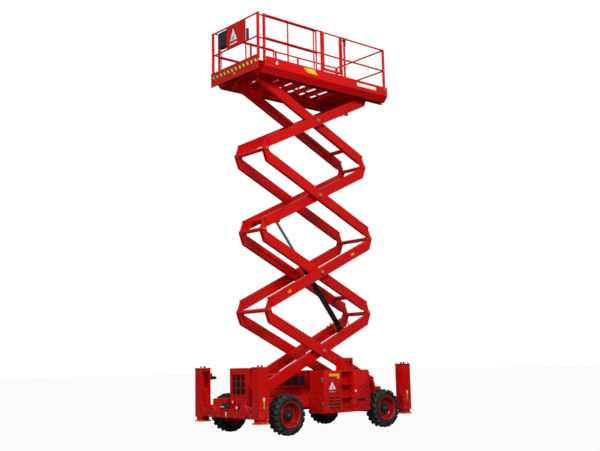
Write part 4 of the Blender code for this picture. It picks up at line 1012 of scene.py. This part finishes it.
def arm_hardware(stage):
    lower_inner, upper_inner = ("rear", "front") if stage % 2 == 0 else ("front", "rear")
    for kind, face, end in (("inner", INNER_FACE, lower_inner), ("outer", OUTER_FACE, upper_inner)):
        body = f"{kind}_arms_{stage}"
        caps, steel = bmesh.new(), bmesh.new()
        for side in (-1, 1):
            add_pin_end(caps, steel, pin_place(stage - 1, end), side, face)
            if kind == "outer":
                middle = (pin_place(stage, "front") + pin_place(stage - 1, "rear")) / 2
                at, boss = (middle.x, middle.z), side * OUTER_FACE
                add_bar(caps, "y", outwards(boss, side, 0, 0.014), at, 0.071, 40, 0.005)
                add_bar(steel, "y", outwards(boss, side, 0.013, 0.018), at, 0.040, 32, 0.002)
                add_bar(steel, "y", outwards(boss, side, 0.013, 0.029), at, 0.021, 6, 0.003)
        piece(f"{kind}_pin_keepers_{stage}", caps, red_enamel, body)
        piece(f"{kind}_pin_bolts_{stage}", steel, zinc, body)


for stage in range(1, STAGES + 1):
    arm_hardware(stage)
print("pins dressed on", STAGES, "stages")

# %% [markdown]
# ## Reflectors and marks on the arms
# Two amber reflectors are stuck to each outer arm of the second stage. They lie along the arm, so an outline
# is turned by the arm's own angle, which comes from the pins at its two ends.

# %% Reflectors
ARM_BEND = 0.12
REFLECTOR = (0.10, 0.06)


def arm_line(stage, rising):
    """An arm's lower pin, its upper pin, its direction and the direction square to it, upwards."""
    start = pin_place(stage - 1, "rear" if rising else "front")
    end = pin_place(stage, "front" if rising else "rear")
    run = (end - start).normalized()
    return start, end, run, Vector((-run.z, 0, run.x)) * (1 if run.x > 0 else -1)


def arm_label(name, stage, share, side):
    """A reflector on an outer arm's face, a share of the way from its lower pin to its upper one."""
    start, end, run, above = arm_line(stage, stage % 2 == 1)
    middle = start + (end - start) * share + above * ARM_BEND * (1 - 2 * share)
    signs = ((-1, -1), (1, -1), (1, 1), (-1, 1))
    places = [middle + run * (a * REFLECTOR[0] / 2) + above * (b * REFLECTOR[1] / 2) for a, b in signs]
    outline = [(place.x, place.z) for place in places]
    film(name, outline, "y", side * (0.545 + 0.0002), side, amber_lens, f"outer_arms_{stage}")


for hand, side in HANDS:
    arm_label(f"reflector_low_{hand}", 2, 0.20, side)
    arm_label(f"reflector_high_{hand}", 2, 0.80, side)
print("reflectors done")

# %% [markdown]
# ## Side boxes
# Each box is folded sheet: a door at the front, a ladder of steps let into the middle and a plain bay behind.
# The door and the rear cover are made again as bevelled panels. Air slots are pressed louvres: an opening filled
# with a thin dark box of painted shade, with a small round hood over it. Repeating one louvre in two columns gives
# the panel its look.

# %% Doors, covers and louvres
LOUVRE_COLUMNS = ((0.175, 0.335), (-0.005, 0.145))
LOUVRE_HEIGHTS = (0.728, 0.658, 0.588, 0.518)
COVER_ROUNDING = 0.06


def faces(name, side):
    """A panel's box, its outer face and its inner face."""
    low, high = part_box(name)
    outer, inner = (high.y, low.y) if side > 0 else (low.y, high.y)
    return low, high, outer, inner


def door_panel(side, hand):
    low, high, outer, inner = faces(f"box_door_{hand}", side)
    body = f"box_door_{hand}"
    bm = bmesh.new()
    add_box(bm, (low.x + 0.002, high.x), (inner, outer), (low.z, high.z), 0.0045, 3)
    raised = outwards(outer, side, -0.002, 0.0025)
    add_box(bm, (low.x + 0.045, high.x - 0.035), raised, (0.80, high.z - 0.03), 0.002)
    door = piece(f"door_panel_{hand}", bm, red_enamel, body)
    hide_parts(f"box_door_{hand}")

    gap_shade, hoods = bmesh.new(), bmesh.new()
    for column in LOUVRE_COLUMNS:
        reach = (column[0] - 0.004, column[1] + 0.004)
        for z in LOUVRE_HEIGHTS:
            # Painted shade: a thin dark box fills each louvre's opening.
            add_box(gap_shade, column, outwards(outer, side, -0.001, 0.0015), (z - 0.022, z + 0.016), 0.0005, 1)
            add_bar(hoods, "x", reach, (outer, z + 0.020), 0.010, 16, 0.003)
            add_bar(hoods, "x", reach, (outer, z - 0.026), 0.004, 12, 0.001)
    piece(f"louvre_gap_shade_{hand}", gap_shade, painted_shade_dark, body)
    piece(f"louvre_hoods_{hand}", hoods, red_enamel, body)
    return outer


def bay_cover(side, hand):
    low, high, outer, inner = faces(f"box_cover_{hand}", side)
    bm = bmesh.new()
    corner = Vector((low.x + COVER_ROUNDING, high.z - COVER_ROUNDING))
    outline = [(low.x, low.z), (high.x, low.z), (high.x, high.z)]
    for i in range(7):
        angle = math.radians(90 + 15 * i)
        reach = Vector((math.cos(angle), math.sin(angle))) * COVER_ROUNDING
        outline.append(tuple(corner + reach))
    add_plate(bm, outline, "y", min(inner, outer), max(inner, outer), 0.006)
    cover = piece(f"bay_cover_{hand}", bm, red_enamel, "chassis")
    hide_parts(f"box_cover_{hand}")
    return outer


door_face, cover_face = door_panel(1, "left"), bay_cover(1, "left")
door_panel(-1, "right")
bay_cover(-1, "right")
print("door face", round(door_face, 4), "cover face", round(cover_face, 4))

# %% [markdown]
# ## Labels, latches and hinges on the boxes
# The door has an angled yellow label and a white warning triangle with a pale bar under it. All are blank.
# Strap hinges sit on the front edge, and the rear bay has a latch, a dark patch of painted shade and a round white
# disc.

# %% Box fittings
STEPS = 3
STEP_FOOT, STEP_RISE = 0.46, 0.28
HINGE_HEIGHTS = (1.11, 0.592)


def door_labels(side, hand):
    body = f"box_door_{hand}"
    face = side * (abs(door_face) + 0.0026)
    yellow = bmesh.new()
    thick = outwards(side * abs(door_face), side, 0.0026, 0.0038)
    add_box(yellow, (0.016, 0.306), thick, (1.182, 1.236), 0.0003, 1)
    add_box(yellow, (0.016, 0.077), thick, (1.130, 1.1825), 0.0003, 1)
    piece(f"door_yellow_label_{hand}", yellow, yellow_film, body)
    film(f"door_triangle_{hand}", triangle(0.227, 0.905, 0.20, 0.165), "y", face, side, white_film, body)
    inner, inner_face = triangle(0.227, 0.925, 0.055, 0.075), face + side * 0.0013
    film(f"door_triangle_middle_{hand}", inner, "y", inner_face, side, grey_film, body)
    bar = rectangle((0.13, 0.32), (0.846, 0.866))
    film(f"door_bar_{hand}", bar, "y", face, side, grey_film, body)


def bay_fittings(side, hand):
    face = side * abs(cover_face)
    disc, plate = circle(-0.469, 0.849, 0.026, 18), rectangle((-0.762, -0.513), (0.63, 0.685))
    film(f"cover_disc_{hand}", disc, "y", face, side, white_film, "chassis")
    # Painted shade: a dark film on the cover.
    film(f"cover_shade_patch_{hand}", plate, "y", face, side, painted_shade_dark, "chassis")
    dark, bright = bmesh.new(), bmesh.new()
    add_box(dark, (-0.645, -0.575), outwards(face, side, -0.002, 0.008), (0.928, 0.956), 0.006, 3)
    add_box(dark, (-0.868, -0.818), outwards(face, side, -0.002, 0.010), (0.92, 0.975), 0.004)
    add_bar(bright, "y", outwards(face, side, 0.008, 0.014), (-0.843, 0.948), 0.013, 20, 0.002)
    for x in (-0.86, -0.45):
        for z in (0.46, 1.22):
            add_bolt(bright, (x, face, z), (0, side, 0), 0.008)
    piece(f"bay_fittings_{hand}", dark, black_plastic, "chassis")
    piece(f"bay_bolts_{hand}", bright, zinc, "chassis")


def hinges_and_handle(side, hand):
    steel = bmesh.new()
    for z in HINGE_HEIGHTS:
        add_box(steel, (0.449, 0.4565), (side * 1.00, side * 1.075), about(z, 0.045), 0.002)
        for offset in (-0.026, 0.026):
            for y in (1.02, 1.055):
                add_bolt(steel, (0.456, side * y, z + offset), (1, 0, 0), 0.006)
    piece(f"door_hinges_{hand}", steel, zinc, "chassis")
    handle = bmesh.new()
    reach = outwards(side * abs(door_face), side, 0, 0.011)
    add_box(handle, (-0.036, -0.006), reach, (0.93, 1.03), 0.004, 3)
    piece(f"door_handle_{hand}", handle, black_plastic, f"box_door_{hand}")


def step_treads(side, hand):
    treads = bmesh.new()
    for i in range(STEPS):
        z = STEP_FOOT + i * STEP_RISE
        for j in range(5):
            x = -0.375 + j * 0.062
            add_box(treads, (x, x + 0.044), (side * 0.945, side * 1.092), (z + 0.0005, z + 0.005), 0.0015, 1)
        add_bar(treads, "x", (-0.40, -0.065), (side * 1.098, z - 0.004), 0.009, 16, 0.002)
    piece(f"step_treads_{hand}", treads, red_enamel, "chassis")


for hand, side in HANDS:
    for dress in (door_labels, bay_fittings, hinges_and_handle, step_treads):
        dress(side, hand)
print("box fittings done, with", STEPS, "steps a side")

# %% [markdown]
# ## Fuel cap and roof seams
# A ribbed cap stands on the rear bay, and the box's roof has folded seams where its panels meet.

# %% Roof fittings
ROOF = 1.2985
bm = bmesh.new()
add_bar(bm, "z", (1.299, 1.325), (-0.60, 1.02), 0.036, 32, 0.004)
add_bar(bm, "z", (1.322, 1.352), (-0.60, 1.02), 0.030, 18, 0.006)
piece("fuel_cap", bm, black_plastic, "chassis")
bm = bmesh.new()
for side in (-1, 1):
    for x in (-0.90, -0.42, -0.045, 0.435):
        add_box(bm, about(x, 0.006), (side * 0.65, side * 1.095), (ROOF, ROOF + 0.007), 0.002)
    add_bar(bm, "x", (-0.90, 0.444), (side * 1.094, ROOF - 0.0005), 0.007, 16, 0.002)
piece("roof_seams", bm, red_enamel, "chassis")
print("roof at", ROOF)

# %% [markdown]
# ## Front grille
# Behind the square bars of the grille hangs a radiator core, coloured with the near-black of painted shade. Fine
# fins catch a little light.
# The bars are made again with eased edges, and a plate of thin fins in that painted-shade dark fills the pocket
# behind.

# %% Grille and core
BAR_WIDTH = 0.013
FINS = 26
low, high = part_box("front_grille")
bm = bmesh.new()
for i in range(4):
    y = low.y + (high.y - low.y - BAR_WIDTH) / 3 * i
    add_box(bm, (low.x, high.x), (y, y + BAR_WIDTH), (low.z, high.z), 0.003)
    z = low.z + (high.z - low.z - BAR_WIDTH) / 3 * i
    add_box(bm, (low.x + 0.0005, high.x - 0.0005), (low.y + 0.001, high.y - 0.001), (z, z + BAR_WIDTH), 0.003)
grille = piece("grille_bars", bm, red_enamel, "chassis")
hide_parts("front_grille")
bm = bmesh.new()
back = low.x - 0.02
add_box(bm, (back - 0.015, back), (low.y + 0.021, high.y - 0.021), (low.z + 0.021, high.z - 0.021), 0.001, 1)
fin_y = (low.y + 0.022, high.y - 0.022)
for i in range(FINS):
    z = low.z + 0.03 + i * (high.z - low.z - 0.06) / (FINS - 1)
    add_box(bm, (back - 0.002, back + 0.006), fin_y, about(z, 0.0022), 0.0008, 1)
# Painted shade: the core and its fins take the dark of the shaded pocket.
piece("radiator_core", bm, painted_shade_dark, "chassis")
print("grille", round(high.y - low.y, 3), "by", round(high.z - low.z, 3))

# %% [markdown]
# ## Front beam
# Lamps, a coupling bracket with three holes, valves and short hard pipes crowd the space over the front beam.
# They are small, but without them the front looks like a toy. The same beam at the back keeps only its lamps.

# %% Beam fittings
BEAM_X = 2.25
red_bits, dark_bits, steel_bits, lamps = bmesh.new(), bmesh.new(), bmesh.new(), bmesh.new()
bracket = [(0.50, 0.37), (0.885, 0.37), (0.885, 0.615), (0.62, 0.615), (0.50, 0.56)]
add_plate(red_bits, bracket, "x", BEAM_X - 0.055, BEAM_X - 0.035, 0.003)
for hole in ((0.60, 0.53), (0.70, 0.49), (0.81, 0.54)):
    add_bar(dark_bits, "x", (BEAM_X - 0.037, BEAM_X - 0.030), hole, 0.026, 24, 0.002)
    add_bar(red_bits, "x", (BEAM_X - 0.040, BEAM_X - 0.032), hole, 0.036, 28, 0.003)
for y, z, radius in ((0.215, 0.585, 0.034), (0.08, 0.70, 0.026), (-0.62, 0.56, 0.022)):
    add_bar(dark_bits, "x", (BEAM_X - 0.17, BEAM_X - 0.125), (y, z), radius + 0.008, 28, 0.005)
    add_bar(lamps, "x", (BEAM_X - 0.127, BEAM_X - 0.116), (y, z), radius, 28, 0.006)
add_box(dark_bits, (2.06, 2.125), (-0.20, -0.10), (0.54, 0.64), 0.008)
add_box(dark_bits, (2.03, 2.09), (-0.34, -0.24), (0.52, 0.60), 0.006)
for i in range(4):
    y = -0.44 + i * 0.05
    add_pipe(dark_bits, [(1.93, y, 0.66), (2.06, y, 0.68), (2.10, y, 0.60), (2.10, y, 0.52)], 0.012)
    add_bar(steel_bits, "z", (0.575, 0.60), (2.10, y), 0.018, 6, 0.003)
for y in (-0.60, -0.30, 0.0, 0.30, 0.60):
    add_bolt(steel_bits, (BEAM_X, y, 0.41), (1, 0, 0), 0.010)
for y in (-0.80, 0.80):
    add_bolt(steel_bits, (2.222, y, 0.45), (1, 0, 0), 0.012)
piece("front_bracket", red_bits, red_enamel, "chassis")
piece("front_valves", dark_bits, black_satin, "chassis")
piece("front_bolts", steel_bits, zinc, "chassis")
piece("front_lamps", lamps, clear_lens, "chassis")
film("beam_label", rectangle((-0.022, 0.022), (0.395, 0.495)), "x", BEAM_X, 1, white_film, "chassis")

red_lamps, housings = bmesh.new(), bmesh.new()
for side in (-1, 1):
    add_box(housings, (-2.258, -2.24), (side * 0.50, side * 0.64), (0.44, 0.50), 0.005)
    add_box(red_lamps, (-2.262, -2.256), (side * 0.51, side * 0.63), (0.447, 0.493), 0.003)
piece("rear_lamp_housings", housings, black_plastic, "chassis")
piece("rear_lamps", red_lamps, red_enamel, "chassis")
print("beam fittings done")

# %% [markdown]
# ## Jack columns
# Each column is a folded box with a bolted cap and a foot pad. The cap carries hose unions, the outer face a
# two-colour label, and the foot a worn yellow edge so that nobody trips on it. Two bands go round the column,
# each made of four strips, so that the leg can slide through them.

# %% Jack details
JACK_X = 2.125
JACK_HALF = 0.125
JACK_INNER_Y, JACK_OUTER_Y = 0.90, 1.135


def jack_cap(corner):
    low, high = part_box(f"jack_housing_{corner}")
    middle = (low + high) / 2
    steel, dark = bmesh.new(), bmesh.new()
    for x in (low.x + 0.04, high.x - 0.04):
        for y in (low.y + 0.04, high.y - 0.04):
            add_bolt(steel, (x, y, high.z), (0, 0, 1), 0.011)
    for offset in (-0.045, 0.045):
        place = (middle.x + offset, middle.y)
        add_bar(dark, "z", (high.z - 0.001, high.z + 0.040), place, 0.017, 20, 0.003)
        add_bar(dark, "z", (high.z + 0.012, high.z + 0.026), place, 0.024, 6, 0.003)
    piece(f"jack_unions_{corner}", dark, black_satin, "chassis")
    return steel


def jack_column(corner, side, steel):
    middle_x = JACK_X if corner.startswith("front") else -JACK_X
    walls = about(middle_x, JACK_HALF)
    outer_y = side * JACK_OUTER_Y
    for z in (0.44, 0.60):
        for x in (walls[0] + 0.025, walls[1] - 0.025):
            add_bolt(steel, (x, outer_y, z), (0, side, 0), 0.0085)
    piece(f"jack_bolts_{corner}", steel, zinc, "chassis")
    bands = bmesh.new()
    depth = (side * (JACK_INNER_Y - 0.003), side * (JACK_OUTER_Y + 0.003))
    for height in ((0.655, 0.672), (0.372, 0.392)):
        for x in walls:
            add_box(bands, about(x, 0.004), depth, height, 0.002)
        for y in (side * JACK_INNER_Y, outer_y):
            add_box(bands, walls, about(y, 0.003), height, 0.001)
    piece(f"jack_bands_{corner}", bands, red_enamel, "chassis")
    white = rectangle(about(middle_x, 0.022), (0.735, 0.80))
    yellow = rectangle(about(middle_x, 0.012), (0.585, 0.7345))
    film(f"jack_label_white_{corner}", white, "y", outer_y, side, white_film, "chassis")
    film(f"jack_label_yellow_{corner}", yellow, "y", outer_y, side, yellow_film, "chassis")


def foot_edge(corner):
    low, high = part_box(f"jack_leg_{corner}")
    rim_x, rim_y = (low.x - 0.0005, high.x + 0.0005), (low.y - 0.0005, high.y + 0.0005)
    edge = bmesh.new()
    add_box(edge, rim_x, rim_y, (low.z + 0.004, low.z + 0.020), 0.002)
    piece(f"foot_edge_{corner}", edge, yellow_film, f"jack_{corner}")


for corner, side in corners:
    jack_column(corner, side, jack_cap(corner))
    foot_edge(corner)
print("jacks dressed")

# %% [markdown]
# ## Valve block on the far front column
# A small valve sticks out behind the far column, on a bracket high up. It is one of the few things that break
# the outline there, so it has to be present.

# %% Far valve
bm = bmesh.new()
add_box(bm, (1.955, 2.001), (-0.97, -0.90), (1.16, 1.30), 0.004)
add_box(bm, (1.865, 1.958), (-0.955, -0.905), (1.165, 1.235), 0.006)
add_bar(bm, "x", (1.835, 1.868), (-0.93, 1.20), 0.026, 20, 0.004)
piece("far_valve", bm, black_satin, "chassis")
print("far valve done")

# %% [markdown]
# ## Machinery between the rails
# Pumps, tanks and hoses fill the space inside the chassis. Seen past the wheel they are a dark tangle.
# Boxes with ribs and formed pipes are enough, so long as they stay below the folded arms.

# %% Engine bay
TRAY = 0.552
WALL = 0.6395
MACHINES = (
    (1.05, 0.22, 0.20), (0.62, 0.30, 0.17), (0.20, 0.26, 0.19), (-0.75, 0.34, 0.16), (-1.95, 0.22, 0.18),
)
LONG_PIPE = ((1.40, 0.60), (0.85, 0.62), (0.40, 0.585), (-0.30, 0.60), (-1.30, 0.585))
WALL_PIPE = ((0.42, 0.93), (-0.20, 0.90), (-0.88, 0.94))
dark, red_bits = bmesh.new(), bmesh.new()
for x, width, height in MACHINES:
    add_box(dark, (x - width / 2, x + width / 2), (-0.24, 0.22), (TRAY, TRAY + height), 0.012, 3)
    for i in range(5):
        rib = x - width / 2 + width * (i + 0.5) / 5
        add_box(dark, about(rib, 0.006), (-0.25, 0.23), (0.56, 0.545 + height), 0.003)
for y in (-0.34, -0.30, 0.27, 0.31):
    add_pipe(dark, [(x, y, z) for x, z in LONG_PIPE], 0.014)
for side in (-1, 1):
    wall = side * WALL
    for x in (-0.82, -0.58, -0.34, -0.10, 0.14, 0.38):
        add_box(red_bits, about(x, 0.02), (wall, wall - side * 0.012), (0.80, 1.27), 0.004)
    add_box(dark, (-0.50, 0.30), (wall, wall - side * 0.008), (0.98, 1.20), 0.004)
    for i in range(9):
        z = 1.00 + i * 0.022
        add_box(dark, (-0.49, 0.29), (wall - side * 0.006, wall - side * 0.014), (z, z + 0.010), 0.002)
    add_pipe(dark, [(x, side * 0.612, z) for x, z in WALL_PIPE], 0.013)
piece("machinery", dark, black_satin, "chassis")
piece("box_ribs", red_bits, red_enamel, "chassis")
print("machinery done:", len(MACHINES), "units")

# %% [markdown]
# ## Pipes on the arms
# Hydraulic pipes climb the stack along the inner faces of the inner arms, where the arms protect them.
# Two thin pipes and a row of clips on each arm are enough to show how the oil gets up there.

# %% Pipe runs clipped inside the arms
ARM_LENGTH = (pin_place(1, "rear") - pin_place(0, "front")).length
PIPE_Y = 0.306
PIPE_END = 0.48
CLIPS = 5


def arm_point(stage, distance, above, y):
    """A place on an inner arm: along its pin line, above that line and across."""
    start, _, run, up = arm_line(stage, stage % 2 == 0)
    return start + run * distance + up * above + Vector((0, y, 0))


def beside_arm(stage, distance, above, y):
    """The same, but following the middle of the bent arm."""
    return arm_point(stage, distance, ARM_BEND * (1 - 2 * distance / ARM_LENGTH) + above, y)


for stage in range(1, STAGES + 1):
    pipes, clips = bmesh.new(), bmesh.new()
    for side in (-1, 1):
        y = side * PIPE_Y
        for lift in (0.030, -0.005):
            ends = [beside_arm(stage, distance, lift, y) for distance in (PIPE_END, ARM_LENGTH - PIPE_END)]
            add_rod(pipes, *ends, 0.0085, 16, 0.002)
        for step in range(CLIPS):
            distance = 0.74 + step * (ARM_LENGTH - 1.48) / (CLIPS - 1)
            middle = beside_arm(stage, distance, 0.0125, y)
            depth = outwards(middle.y, side, -0.010, 0.0185)
            add_bar(clips, "y", depth, (middle.x, middle.z), 0.024, 6, 0.003)
    piece(f"pipe_run_{stage}", pipes, red_enamel, f"inner_arms_{stage}")
    piece(f"pipe_clips_{stage}", clips, red_enamel, f"inner_arms_{stage}")

bm = bmesh.new()
for side in (-1, 1):
    for distance in (ARM_LENGTH - 0.75, ARM_LENGTH - 0.62):
        foot = arm_point(1, distance, 0.0, side * 0.30)
        add_rod(bm, foot, foot + Vector((0.05, 0, 0.10)), 0.014, 12, 0.002)
piece("hose_stand", bm, red_enamel, "inner_arms_1")
print("arm length", round(ARM_LENGTH, 3))
